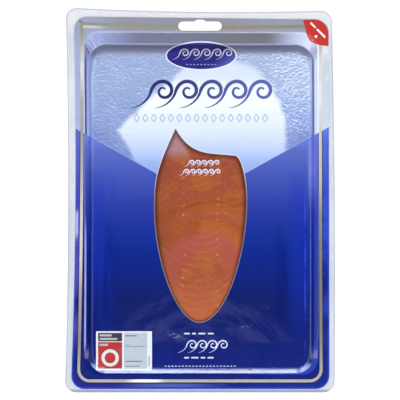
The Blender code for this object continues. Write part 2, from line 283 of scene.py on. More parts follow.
@dataclass(frozen=True)
class WindowShape:
    """Outline of the window, as Bezier sides between five corner points.

    Places are measured from the window's foot.
    """

    tip: Point = (-17.6, 143.3)
    shoulder: Point = (26.4, 123.2)
    right: Point = (35.0, 89.6)
    left: Point = (-33.3, 84.4)
    heart: Point = (0.6, 72.0)
    steps: int = 60

    def foot(self) -> Array:
        """Give the lowest point of the window."""
        return np.array([-0.4, box_mm("window_pane")[0][1] - 0.3])

    def points(self) -> Array:
        """Give the outline clockwise from its tip, in the frame's axes.

        Returns:
            An array of (x, y) rows.
        """
        sides = (
            (self.tip, (-6.0, 122.3), (7.1, 125.5), self.shoulder),
            (self.shoulder, (31.6, 121.9), (35.0, 104.5), self.right),
            (self.right, (35.0, 49.2), (18.9, 0.0), (0.0, 0.0)),
            ((0.0, 0.0), (-16.1, 0.0), (-33.3, 44.0), self.left),
            (self.left, (-33.3, 106.3), (-31.6, 114.3), self.tip),
        )
        return np.concatenate([bezier(side, self.steps) for side in sides]) + self.foot()

    def centre(self) -> Array:
        """Give the point that every part of the outline can be seen from."""
        return self.foot() + self.heart

    def towards(self, points: Array) -> Array:
        """Give the outline's points that lie in the directions of other points.

        Args:
            points: (x, y) rows round the window.

        Returns:
            One point of the outline for each row, with the tip among them.
        """
        outline = self.points() - self.centre()
        angles = np.unwrap(np.arctan2(outline[:, 1], outline[:, 0]))
        lengths = np.hypot(outline[:, 0], outline[:, 1])
        around = points - self.centre()
        wanted = np.arctan2(around[:, 1], around[:, 0])
        tip = math.atan2(outline[0, 1], outline[0, 0])
        wanted[np.argmin(np.abs(wanted - tip))] = tip
        turned = (angles[0] - wanted) % (2.0 * math.pi)
        length = np.interp(turned, angles[0] - angles, lengths, period=2.0 * math.pi)
        return np.stack([np.cos(wanted), np.sin(wanted)], axis=1) * length[:, None] + self.centre()


@dataclass(frozen=True)
class PackPlan:
    """Sizes of the pack, worked out from the CAD nodes."""

    low: Array = field(default_factory=lambda: box_mm("lid_film")[0])
    high: Array = field(default_factory=lambda: np.maximum(
        box_mm("lid_film")[1], box_mm("lid_film_header")[1]))
    flange: float = 6.7
    shoulder_width: float = 6.6
    shoulder_width_side: float = 2.8
    shoulder_width_bottom: float = 3.6
    fold: float = 0.35
    middle_slice: Oval = Oval((2.0, -50.0), (58.0, 50.0), 12.0)
    upper_slice: Oval = Oval((3.0, -60.0), (44.0, 46.5), 14.0)

    @property
    def plateau(self) -> float:
        """Give the height of the lid over the board."""
        return float(box_mm("window_pane")[1][2])

    def within(self, lefts: Point, rights: Point, foot: float,
               tops: Point, radius: float, bows: tuple[float, float, float],
               sharper: float = 0.0) -> Outline:
        """Give an outline by how far its corners lie in from the lid's box.

        Args:
            lefts: how far the top and the bottom corner lie in from the left.
            rights: the same from the right.
            foot: how far the foot lies in.
            tops: how far the left and the right top corner lie in from the top.
            radius: its corner radius.
            bows: offsets of the left, right and top side at their middle.
            sharper: how much smaller the left top corner's radius is.

        Returns:
            The outline.
        """
        (x0, y0, _), (x1, y1, _) = self.low, self.high
        return Outline((x0 + lefts[0], x0 + lefts[1]), (x1 - rights[0], x1 - rights[1]), y0 + foot,
                       (y1 - tops[0], y1 - tops[1]), radius, bows, sharper)

    def edge(self) -> Outline:
        """Give the cut edge of the films."""
        return self.within((0.6, 0.0), (2.6, 0.4), 0.0, (0.0, 2.2), 8.6, (2.2, 1.28, -2.2))

    def print_edge(self) -> Outline:
        """Give the edge of the printed field."""
        return self.within((6.8, 4.6), (5.0, 4.4), 2.7, (6.8, 9.0), 9.8, (2.2, 0.1, 0.0))

    def gold_line(self) -> Outline:
        """Give the outer edge of the gold frame line."""
        return self.within((11.3, 9.0), (9.9, 9.3), 7.6, (10.8, 12.6), 9.6, (1.2, -0.2, -1.8), 6.6)

    def mouth(self) -> Outline:
        """Give the fold where the lid leaves the flange."""
        return self.within((14.1, 14.1), (12.9, 12.7), 13.1, (18.0, 18.6), 12.0, (0.6, 0.3, -0.3))

    def groove(self) -> Outline:
        """Give the lowest line of the lid."""
        return self.within((17.5, 17.5), (16.3, 16.0), 14.2, (26.8, 27.2), 13.0, (0.6, 0.3, -0.2))


class LidSurface:
    """The height of the lid film at any place of the pack."""

    slack_depth = 0.022
    ridge_depth = 0.088
    wrinkle_depth = 0.26
    wrinkle_count = 34.0

    def __init__(self, plan: PackPlan) -> None:
        """Keep the plan and draw the waves of the loose film.

        Args:
            plan: sizes of the pack.
        """
        self.plan = plan
        self.mouth = plan.mouth()
        self.groove = plan.groove()
        rng = np.random.default_rng(7)
        self.waves = [
            (2.0 * math.pi / rng.uniform(14.0, 34.0), rng.uniform(0.0, math.pi),
             rng.uniform(0.0, 2.0 * math.pi)) for _ in range(14)]

    def groove_level(self, y: Array) -> Array:
        """Give the height of the groove's lowest line at y."""
        stops = (self.groove.bottom + 5.0, self.groove.bottom + 26.0, 88.0, 112.0)
        return np.interp(y, stops, (6.3, 4.2, 3.7, 2.7))

    def relief(self, x: Array, y: Array) -> Array:
        """Give the soft steps over the slices and the slack waves of the film.

        Args:
            x: places along X.
            y: places along Y.

        Returns:
            The heights over the plain lid.
        """
        steps = 0.20 * smoothstep(self.plan.middle_slice.inside(x, y), -4.0, 5.0)
        steps += 0.18 * smoothstep(self.plan.upper_slice.inside(x, y), -3.5, 4.0)
        slack = sum(np.sin(k * (x * math.cos(a) + y * math.sin(a)) + phase)
                    for k, a, phase in self.waves)
        aside = np.abs(x + 1.0)
        ridge = np.exp(-(((y + 68.0 - 0.02 * x) / 1.6) ** 2))
        ridge *= smoothstep(aside, 24.0, 32.0) * smoothstep(-aside, -58.0, -44.0)
        return steps + self.slack_depth * slack + self.ridge_depth * ridge - 0.1

    def corner_wrinkles(self, x: Array, y: Array) -> Array:
        """Give the creases that fan out round the top left corner.

        Args:
            x: places along X.
            y: places along Y.

        Returns:
            The heights over the plain lid.
        """
        cx = self.groove.left[0] + self.groove.radius
        cy = self.groove.top[0] - self.groove.radius
        reach = np.hypot(x - cx, y - cy)
        angle = np.arctan2(y - cy, x - cx)
        fan = np.sin(self.wrinkle_count * angle + 2.2 * np.sin(5.0 * angle))
        where = smoothstep(-x, -cx - 6.0, -cx + 2.0) * smoothstep(y, cy - 6.0, cy + 2.0)
        return self.wrinkle_depth * fan * where * np.exp(-(((reach - 15.5) / 4.5) ** 2))

    def height(self, x: Array, y: Array) -> Array:
        """Give the height of the lid's upper face.

        Args:
            x: places along X.
            y: places along Y.

        Returns:
            The heights at those places.
        """
        plan = self.plan
        into_mouth = self.mouth.inside(x, y)
        into_groove = self.groove.inside(x, y)
        low = self.groove_level(y)
        between = np.maximum(into_mouth - into_groove, 1e-6)
        facet = plan.flange + (low - plan.flange) * np.clip(into_mouth / between, 0.0, 1.0)
        facet = soft_min(np.full_like(facet, plan.flange + plan.fold * 0.25), facet, plan.fold)
        foot, head = self.groove.bottom, self.groove.top[0]
        side = plan.shoulder_width_side
        width = np.interp(y, (foot + 6.0, foot + 24.0, head - 24.0, head - 6.0),
                          (plan.shoulder_width_bottom, side, side, plan.shoulder_width))
        share = np.clip(into_groove / width, 0.0, 1.0)
        steep = smoothstep(y, foot + 8.0, foot + 26.0)
        rise = share + (np.sin(share * math.pi / 2.0) - share) * steep
        top = low + (plan.plateau - low) * rise
        top = top + self.relief(x, y) * smoothstep(into_groove, 4.0, 14.0)
        surface = np.where(into_groove > 0.0, top, facet)
        surface = np.where(into_mouth > 0.0, surface, plan.flange)
        return surface + self.corner_wrinkles(x, y)

    def piece(self, name: str, patch: "Patch", lift: float, thickness: float,
              fields: Optional[dict[str, Heights]] = None) -> bpy.types.Object:
        """Lay a patch on the lid as a thin closed piece.

        Args:
            name: the piece's name.
            patch: its flat shape.
            lift: how far its lower face lies over the lid's upper face.
            thickness: its thickness.
            fields: values at x and y that the finish reads from the mesh, by name.

        Returns:
            The piece.
        """
        return piece_from_patch(name, patch, lambda x, y: self.height(x, y) + lift + thickness,
                                lambda x, y: self.height(x, y) + lift, fields)


# ---- Mesh making ----


@dataclass
class Patch:
    """Flat points with faces between them, which is later laid on a surface."""

    points: list[Array] = field(default_factory=list)
    faces: list[tuple[int, ...]] = field(default_factory=list)
    count: int = 0

    def add(self, points: Array, faces: Sequence[tuple[int, ...]]) -> "Patch":
        """Add points and the faces between them, and give the patch itself.

        Args:
            points: (x, y) rows.
            faces: the corners of each face, as row numbers.

        Returns:
            The patch itself.
        """
        self.points.append(points)
        self.faces += [tuple(i + self.count for i in face) for face in faces]
        self.count += len(points)
        return self

    def add_rings(self, rings: Sequence[Array], centre: Optional[Array] = None) -> "Patch":
        """Add bands between rings of the same count, counter-clockwise and from outside in.

        Args:
            rings: arrays of (x, y) rows.
            centre: a point that closes the innermost ring, or None to leave it open.

        Returns:
            The patch itself.
        """
        n = len(rings[0])
        faces: list[tuple[int, ...]] = []
        for k in range(len(rings) - 1):
            for i in range(n):
                j = (i + 1) % n
                faces.append((k * n + i, k * n + j, (k + 1) * n + j, (k + 1) * n + i))
        points = np.concatenate(list(rings))
        if centre is not None:
            last = (len(rings) - 1) * n
            hub = len(points)
            points = np.concatenate([points, centre[None, :]])
            faces += [(last + i, last + (i + 1) % n, hub) for i in range(n)]
        return self.add(points, faces)

    def add_disc(self, outline: Array, middle: Array, rings: int) -> "Patch":
        """Add an outline filled towards its middle in even rings, and give the patch itself."""
        shares = np.linspace(1.0, 0.0, rings, endpoint=False)
        return self.add_rings([middle + (outline - middle) * share for share in shares], middle)

    def add_shape(self, outline: Array, rings: int) -> "Patch":
        """Add a filled outline that its middle can see all of, and give the patch itself."""
        return self.add_disc(outline, outline.mean(axis=0), rings)

    def add_ribbon(self, line: Array, width: Array, closed: bool = False) -> "Patch":
        """Add a band of changing width along a line.

        Args:
            line: (x, y) rows along the middle of the band.
            width: the band's width at each row.
            closed: whether the line's end joins its start.

        Returns:
            The patch itself.
        """
        if closed:
            ahead, behind = np.roll(line, -1, axis=0), np.roll(line, 1, axis=0)
        else:
            ahead = np.concatenate([line[1:], line[-1:] * 2 - line[-2:-1]])
            behind = np.concatenate([line[:1] * 2 - line[1:2], line[:-1]])
        along = ahead - behind
        along /= np.maximum(np.hypot(along[:, 0], along[:, 1]), 1e-9)[:, None]
        side = np.stack([-along[:, 1], along[:, 0]], axis=1) * (width / 2.0)[:, None]
        n = len(line)
        faces = []
        for i in range(n if closed else n - 1):
            j = (i + 1) % n
            faces += [(i, n + i, n + j, j), (n + i, 2 * n + i, 2 * n + j, n + j)]
        return self.add(np.concatenate([line + side, line, line - side]), faces)


def piece_from_patch(name: str, patch: Patch, top: Heights, bottom: Heights,
                     fields: Optional[dict[str, Heights]] = None) -> bpy.types.Object:
    """Make a closed thin piece between two heights over a patch.

    Args:
        name: the piece's name.
        patch: the flat points and faces.
        top: height of the upper face at x and y.
        bottom: height of the lower face at x and y.
        fields: values at x and y that the finish reads from the mesh, by name.

    Returns:
        The piece, linked to the scene and smooth shaded.
    """
    flat = np.concatenate(patch.points)
    n = len(flat)
    upper = np.column_stack([flat, top(flat[:, 0], flat[:, 1])])
    lower = np.column_stack([flat, bottom(flat[:, 0], flat[:, 1])])
    faces = []
    edges: dict[tuple[int, int], tuple[int, int]] = {}
    for face in patch.faces:
        a, b, c = (flat[i] for i in face[:3])
        turn = (b[0] - a[0]) * (c[1] - a[1]) - (b[1] - a[1]) * (c[0] - a[0])
        ordered = face if turn > 0.0 else face[::-1]
        faces.append(ordered)
        faces.append(tuple(i + n for i in reversed(ordered)))
        for i, start in enumerate(ordered):
            end = ordered[(i + 1) % len(ordered)]
            key = (min(start, end), max(start, end))
            if key in edges:
                edges[key] = (-1, -1)
            else:
                edges[key] = (start, end)
    for start, end in edges.values():
        if start >= 0:
            faces.append((end, start, start + n, end + n))
    mesh = bpy.data.meshes.new(name)
    mesh.from_pydata((np.concatenate([upper, lower]) * MM).tolist(), [], faces)
    mesh.validate()
    mesh.shade_smooth()
    mesh.set_sharp_from_angle(angle=math.radians(SHARP_DEGREES))
    for label, value in (fields or {}).items():
        values = value(flat[:, 0], flat[:, 1]).astype(np.float32)
        attribute = mesh.attributes.new(label, "FLOAT", "POINT")
        attribute.data.foreach_set("value", np.concatenate([values, values]))
    piece = bpy.data.objects.new(name, mesh)
    bpy.context.scene.collection.objects.link(piece)
    return piece


def cut_hole(piece: bpy.types.Object, outline: Array) -> None:
    """Cut an outline right through a piece, and keep the result as its mesh.

    Args:
        piece: the piece to cut.
        outline: counter-clockwise (x, y) rows.
    """
    bm = bmesh.new()
    floor = [bm.verts.new((x * MM, y * MM, -0.01)) for x, y in outline]
    roof = [bm.verts.new((x * MM, y * MM, 0.03)) for x, y in outline]
    bm.faces.new(floor[::-1])
    bm.faces.new(roof)
    for i in range(len(outline)):
        j = (i + 1) % len(outline)
        bm.faces.new((floor[i], floor[j], roof[j], roof[i]))
    bmesh.ops.recalc_face_normals(bm, faces=bm.faces)
    mesh = bpy.data.meshes.new("hole")
    bm.to_mesh(mesh)
    bm.free()
    cutter = bpy.data.objects.new("hole", mesh)
    bpy.context.scene.collection.objects.link(cutter)
    boolean = piece.modifiers.new("hole", "BOOLEAN")
    boolean.operation = "DIFFERENCE"
    boolean.solver = "EXACT"
    boolean.object = cutter
    apply_modifiers(piece)
    bpy.data.objects.remove(cutter)


def apply_modifiers(piece: bpy.types.Object) -> None:
    """Turn a piece's modifiers into its own mesh.

    Args:
        piece: the piece, which has them.
    """
    graph = bpy.context.evaluated_depsgraph_get()
    mesh = bpy.data.meshes.new_from_object(piece.evaluated_get(graph))
    piece.modifiers.clear()
    piece.data = mesh
    mesh.set_sharp_from_angle(angle=math.radians(SHARP_DEGREES))


def hang_slot(plan: PackPlan) -> Array:
    """Give the outline of the hang slot: a bar with round ends and a hump on top.

    Args:
        plan: sizes of the pack.

    Returns:
        An array of (x, y) rows.
    """
    width, height, hump, rise, drop = 32.0, 6.8, 7.7, 1.4, 13.8
    y = plan.high[1] - drop
    end = height / 2.0
    reach = width / 2.0 - end
    half_turn = np.linspace(0.0, math.pi, 15)
    return np.concatenate([
        arc(reach, y, end, end, half_turn - math.pi / 2),
        arc(0.0, y + end, hump / 2, rise, half_turn),
        arc(-reach, y, end, end, half_turn + math.pi / 2),
    ])


# ---- Node building ----


class Wire:
    """A node's output, which can be reckoned with like a number."""

    def __init__(self, nodes: "Nodes", socket: bpy.types.NodeSocket) -> None:
        """Keep the builder of the tree and the output."""
        self.nodes = nodes
        self.socket = socket

    def __add__(self, other: "Value") -> "Wire":
        """Add another value."""
        return self.nodes.math("ADD", self, other)

    def __sub__(self, other: "Value") -> "Wire":
        """Subtract another value."""
        return self.nodes.math("SUBTRACT", self, other)

    def __rsub__(self, other: float) -> "Wire":
        """Subtract this from a number."""
        return self.nodes.math("SUBTRACT", other, self)

    def __mul__(self, other: "Value") -> "Wire":
        """Multiply by another value."""
        return self.nodes.math("MULTIPLY", self, other)

    def __truediv__(self, other: "Value") -> "Wire":
        """Divide by another value."""
        return self.nodes.math("DIVIDE", self, other)

    def __rtruediv__(self, other: float) -> "Wire":
        """Divide a number by this."""
        return self.nodes.math("DIVIDE", other, self)

    def __abs__(self) -> "Wire":
        """Give the size without the sign."""
        return self.nodes.math("ABSOLUTE", self)

    __radd__ = __add__
    __rmul__ = __mul__


Value = Union[float, Wire]


class Nodes:
    """Short calls for building one node tree."""

    def __init__(self, tree: bpy.types.NodeTree) -> None:
        """Keep the tree that nodes are added to."""
        self.tree = tree

    def add(self, kind: str, feeds: Optional[dict[Union[int, str], object]] = None,
            **settings: object) -> bpy.types.Node:
        """Add a node.

        Args:
            kind: the node's type.
            feeds: what its inputs are fed with, by number or name.
            **settings: the node's own properties.

        Returns:
            The node.
        """
        node = self.tree.nodes.new(kind)
        for name, value in settings.items():
            setattr(node, name, value)
        for name, value in (feeds or {}).items():
            self.feed(node.inputs[name], value)
        return node

    def feed(self, socket: bpy.types.NodeSocket, value: object) -> None:
        """Link an output to a socket, or set the socket's own value.

        Args:
            socket: the input.
            value: an output, or the socket's value.
        """
        if isinstance(value, Wire):
            self.tree.links.new(value.socket, socket)
        elif isinstance(value, tuple) and socket.type == "RGBA" and len(value) == 3:
            socket.default_value = (*value, 1.0)
        else:
            socket.default_value = value

    def wire(self, node: bpy.types.Node, output: Union[int, str] = 0) -> Wire:
        """Give one of a node's outputs."""
        return Wire(self, node.outputs[output])

    def wires(self, node: bpy.types.Node) -> list[Wire]:
        """Give all of a node's outputs."""
        return [Wire(self, output) for output in node.outputs]

    def math(self, operation: str, a: Value, b: Value = 0.0) -> Wire:
        """Reckon with a Math node."""
        return self.wire(self.add("ShaderNodeMath", {0: a, 1: b}, operation=operation))

    def most(self, a: Value, b: Value) -> Wire:
        """Give the larger of two values."""
        return self.math("MAXIMUM", a, b)

    def least(self, a: Value, b: Value) -> Wire:
        """Give the smaller of two values."""
        return self.math("MINIMUM", a, b)

    def stretched(self, vector: Value, factors: tuple[float, float, float]) -> Wire:
        """Multiply each part of a vector by its own factor."""
        feeds = {0: vector, 1: factors}
        return self.wire(self.add("ShaderNodeVectorMath", feeds, operation="MULTIPLY"))

    def scaled(self, vector: Value, factor: Value) -> Wire:
        """Multiply a vector by a number."""
        feeds = {0: vector, "Scale": factor}
        return self.wire(self.add("ShaderNodeVectorMath", feeds, operation="SCALE"))

    def place(self) -> tuple[Wire, Wire, Wire]:
        """Give the object place in metres as a vector, and its x and y in millimetres."""
        vector = self.wire(self.add("ShaderNodeTexCoord"), "Object")
        return (vector, *self.millimetres(vector))

    def millimetres(self, vector: Value) -> tuple[Wire, Wire]:
        """Give the x and y in millimetres of a vector in metres."""
        return self.split(self.stretched(vector, (1000.0, 1000.0, 1000.0)))[:2]

    def field(self, label: str) -> Wire:
        """Give a value that is stored on the mesh."""
        return self.wire(self.add("ShaderNodeAttribute", attribute_name=label), "Fac")

    def split(self, vector: Value) -> list[Wire]:
        """Give the three numbers of a vector."""
        return self.wires(self.add("ShaderNodeSeparateXYZ", {0: vector}))

    def join(self, x: Value, y: Value) -> Wire:
        """Make a flat vector of two numbers."""
        return self.wire(self.add("ShaderNodeCombineXYZ", {0: x, 1: y}))

    def ease(self, value: Value, low: Value, high: Value) -> Wire:
        """Ease a value from 0 at low to 1 at high.

        Args:
            value: the value.
            low: where the result is 0.
            high: where the result is 1.

        Returns:
            The result.
        """
        feeds = {"Value": value, "From Min": low, "From Max": high}
        node = self.add("ShaderNodeMapRange", feeds, interpolation_type="SMOOTHSTEP")
        return self.wire(node, "Result")

    def mask(self, strength: Value, *ranges: tuple[Value, Value, Value]) -> Wire:
        """Multiply a strength by the ease of each (value, low, high)."""
        return math.prod((self.ease(*part) for part in ranges), start=strength)

    def paint(self, base: Value, colour: Value, strength: Value,
              *ranges: tuple[Value, Value, Value]) -> Wire:
        """Lay a colour over a base, as strong as the mask of the ranges."""
        return self.mix(self.mask(strength, *ranges), base, colour)

    def stroke(self, x: Value, y: Value, start: Point, end: Point, half: float) -> Wire:
        """Mask a straight stroke.

        Args:
            x: place along X.
            y: place along Y.
            start: where the stroke starts.
            end: where it ends.
            half: half of its width.

        Returns:
            The mask.
        """
        run = (end[0] - start[0], end[1] - start[1])
        length = run[0] ** 2 + run[1] ** 2
        dx, dy = x - start[0], y - start[1]
        along = self.least(self.most(dx * (run[0] / length) + dy * (run[1] / length), 0.0), 1.0)
        ox, oy = dx - along * run[0], dy - along * run[1]
        return self.ease(self.math("SQRT", ox * ox + oy * oy), half * 1.5, half * 0.5)

    def mix(self, factor: Value, a: object, b: object) -> Wire:
        """Mix two colours."""
        feeds = {"Factor": factor, 6: a, 7: b}
        return self.wire(self.add("ShaderNodeMix", feeds, data_type="RGBA", clamp_factor=True), 2)

    def noise(self, vector: Value, scale: float, detail: float = 2.0, rough: float = 0.5,
              stretch: float = 0.0) -> Wire:
        """Give a soft noise.

        Args:
            vector: where it is read.
            scale: how many features it has for each unit of the vector.
            detail: how many finer layers it has.
            rough: how strong the finer layers are.
            stretch: how far it is distorted.

        Returns:
            A value round 0.5.
        """
        feeds = {"Vector": vector, "Scale": scale, "Detail": detail, "Roughness": rough,
                 "Distortion": stretch}
        return self.wire(self.add("ShaderNodeTexNoise", feeds), "Fac")

    def ramp(self, value: Value, stops: Sequence[tuple[float, Colour]]) -> Wire:
        """Colour a value by stops of place and colour.

        Args:
            value: a value from 0 to 1.
            stops: places and the colours there.

        Returns:
            The colour.
        """
        node = self.add("ShaderNodeValToRGB", {0: value})
        ramp = node.color_ramp
        while len(ramp.elements) < len(stops):
            ramp.elements.new(0.5)
        for element, (place, colour) in zip(ramp.elements, stops):
            element.position = place
            element.color = (*colour, 1.0)
        return self.wire(node, "Color")

    def bump(self, height: Value, strength: float, distance: float) -> Wire:
        """Turn a height into a normal."""
        feeds = {"Strength": strength, "Distance": distance, "Height": height}
        return self.wire(self.add("ShaderNodeBump", feeds), "Normal")

    def group(self, tree: bpy.types.NodeTree, **inputs: object) -> list[Wire]:
        """Place a node group, feed its inputs and give its outputs."""
        return self.wires(self.add("ShaderNodeGroup", inputs, node_tree=tree))


def new_group(name: str, inputs: Sequence[tuple[str, str, object]],
              outputs: Sequence[tuple[str, str]]) -> tuple[Nodes, list[Wire], bpy.types.Node]:
    """Start a shader node group.

    Args:
        name: the group's name.
        inputs: name, socket kind and default of each input.
        outputs: name and socket kind of each output.

    Returns:
        The builder, the inputs and the node that takes the outputs.
    """
    tree = bpy.data.node_groups.new(name, "ShaderNodeTree")
    for label, kind, value in inputs:
        socket = tree.interface.new_socket(label, in_out="INPUT", socket_type="NodeSocket" + kind)
        if value is not None:
            socket.default_value = value
    for label, kind in outputs:
        tree.interface.new_socket(label, in_out="OUTPUT", socket_type="NodeSocket" + kind)
    build = Nodes(tree)
    given = build.add("NodeGroupInput").outputs[:len(inputs)]
    return build, [Wire(build, socket) for socket in given], build.add("NodeGroupOutput")


class Effects:
    """Shader node groups that several finishes share, each built once."""

    def __init__(self) -> None:
        """Build the groups."""
        self.film_ripple = self._film_ripple()
        self.ink_wear = self._ink_wear()
        self.flesh = self._flesh()

    def _film_ripple(self) -> bpy.types.NodeTree:
        """Build the fine hammered ripple of a vacuum film, as a height.

        Returns:
            The group.
        """
        n, (place, size, depth), end = new_group(
            "film_ripple",
            [("Place", "Vector", None), ("Size", "Float", 3.4), ("Depth", "Float", 1.0)],
            [("Height", "Float")])
        sized = n.scaled(n.stretched(place, (0.92, 1.12, 1.0)), 1000.0 / size)
        grain = n.noise(sized, 1.0, 1.5, 0.45, 0.4)
        broad = n.noise(sized, 0.28, 1.0, 0.5, 0.2)
        n.feed(end.inputs["Height"], (grain + broad * 0.6) * depth)
        return n.tree

    def _ink_wear(self) -> bpy.types.NodeTree:
        """Build the slight unevenness of a printed colour.

        Returns:
            The group.
        """
        n, (place, ink, amount), end = new_group(
            "ink_wear",
            [("Place", "Vector", None), ("Ink", "Color", (0.5, 0.5, 0.5, 1.0)),
             ("Amount", "Float", 0.08)],
            [("Colour", "Color"), ("Rough", "Float")])
        cloud = n.noise(place, 160.0, 3.0, 0.6)
        n.feed(end.inputs["Colour"], n.scaled(ink, 1.0 + (cloud - 0.5) * amount * 2.0))
        n.feed(end.inputs["Rough"], 0.3 + cloud * 0.15)
        return n.tree

    def _flesh(self) -> bpy.types.NodeTree:
        """Build the muscle bands and fibres of a salmon slice.

        Returns:
            The group.
        """
        n, (place, bend, spacing, slant), end = new_group(
            "salmon_flesh",
            [("Place", "Vector", None), ("Bend", "Float", 0.02), ("Spacing", "Float", 5.4),
             ("Slant", "Float", 0.0)],
            [("Line", "Float"), ("Fibre", "Float"), ("Cloud", "Float"), ("Spot", "Float")])
        x, y = n.millimetres(place)
        off = x - SLICE_MIDDLE
        warped = (n.noise(place, 62.0, 3.0, 0.55) - 0.5) * 11.0
        along = y - off * off * bend - off * slant + warped
        saw = abs(n.math("FRACT", along / spacing) - 0.5)
        broken = n.ease(n.noise(place, 85.0, 2.0, 0.5), 0.4, 0.66)
        n.feed(end.inputs["Line"], n.ease(saw, 0.36, 0.5) * broken)
        n.feed(end.inputs["Fibre"], n.noise(n.join(off * 0.16, along * 0.75), 1.1, 4.0, 0.6))
        n.feed(end.inputs["Cloud"], n.noise(place, 34.0, 3.0, 0.55))
        knot = n.mask(1.0, (saw, 0.34, 0.46), (n.noise(place, 140.0, 0.0), 0.5, 0.58))
        seams = [n.ease(abs(x - seam + warped * 0.5), 1.5, 0.5) for seam in (-12.4, 13.4)]
        n.feed(end.inputs["Spot"], n.most(*seams) * knot)
        return n.tree


def new_material(name: str) -> tuple[bpy.types.Material, Nodes, bpy.types.Node]:
    """Start a material with one Principled shader.

    Args:
        name: the material's name.

    Returns:
        The material, its node builder and the shader node.
    """
    material = bpy.data.materials.new(name)
    material.use_nodes = True
    return material, Nodes(material.node_tree), material.node_tree.nodes["Principled BSDF"]


def finish(n: Nodes, shader: bpy.types.Node, colour: Value, rough: Value, height: Value,
           strength: float, distance: float) -> None:
    """Feed a shader with what every finish has.

    Args:
        n: the material's node builder.
        shader: the material's shader.
        colour: its colour.
        rough: its roughness.
        height: the height that its bump follows.
        strength: how strong the bump is.
        distance: how deep the bump is, in metres.
    """
    n.feed(shader.inputs["Base Color"], colour)
    n.feed(shader.inputs["Roughness"], rough)
    n.feed(shader.inputs["Normal"], n.bump(height, strength, distance))


def print_ink(n: Nodes, shader: bpy.types.Node, effects: "Effects", place: Value, colour: Value,
              uneven: float = 0.08, size: float = 4.0) -> None:
    """Feed a shader with a slightly uneven ink on rippled film.

    Args:
        n: the material's node builder.
        shader: the material's shader.
        effects: the shared node groups.
        place: the place on the piece.
        colour: the ink's colour.
        uneven: how uneven it is.
        size: size of the film's ripples in millimetres.
    """
    worn, rough = n.group(effects.ink_wear, Place=place, Ink=colour, Amount=uneven)
    ripple, = n.group(effects.film_ripple, Place=place, Size=size, Depth=0.5)
    finish(n, shader, worn, rough, ripple, 0.3, 0.0002)


# ---- Finishes ----


@dataclass(frozen=True)
class Spot:
    """What the layers of the printed film read at the place that they colour.

    x and y are in millimetres, mouth and groove are the distances inside those outlines, facet
    masks the slope between the two, and cloud is a soft noise.
    """

    n: Nodes
    place: Wire
    x: Wire
    y: Wire
    mouth: Wire
    groove: Wire
    facet: Wire
    cloud: Wire


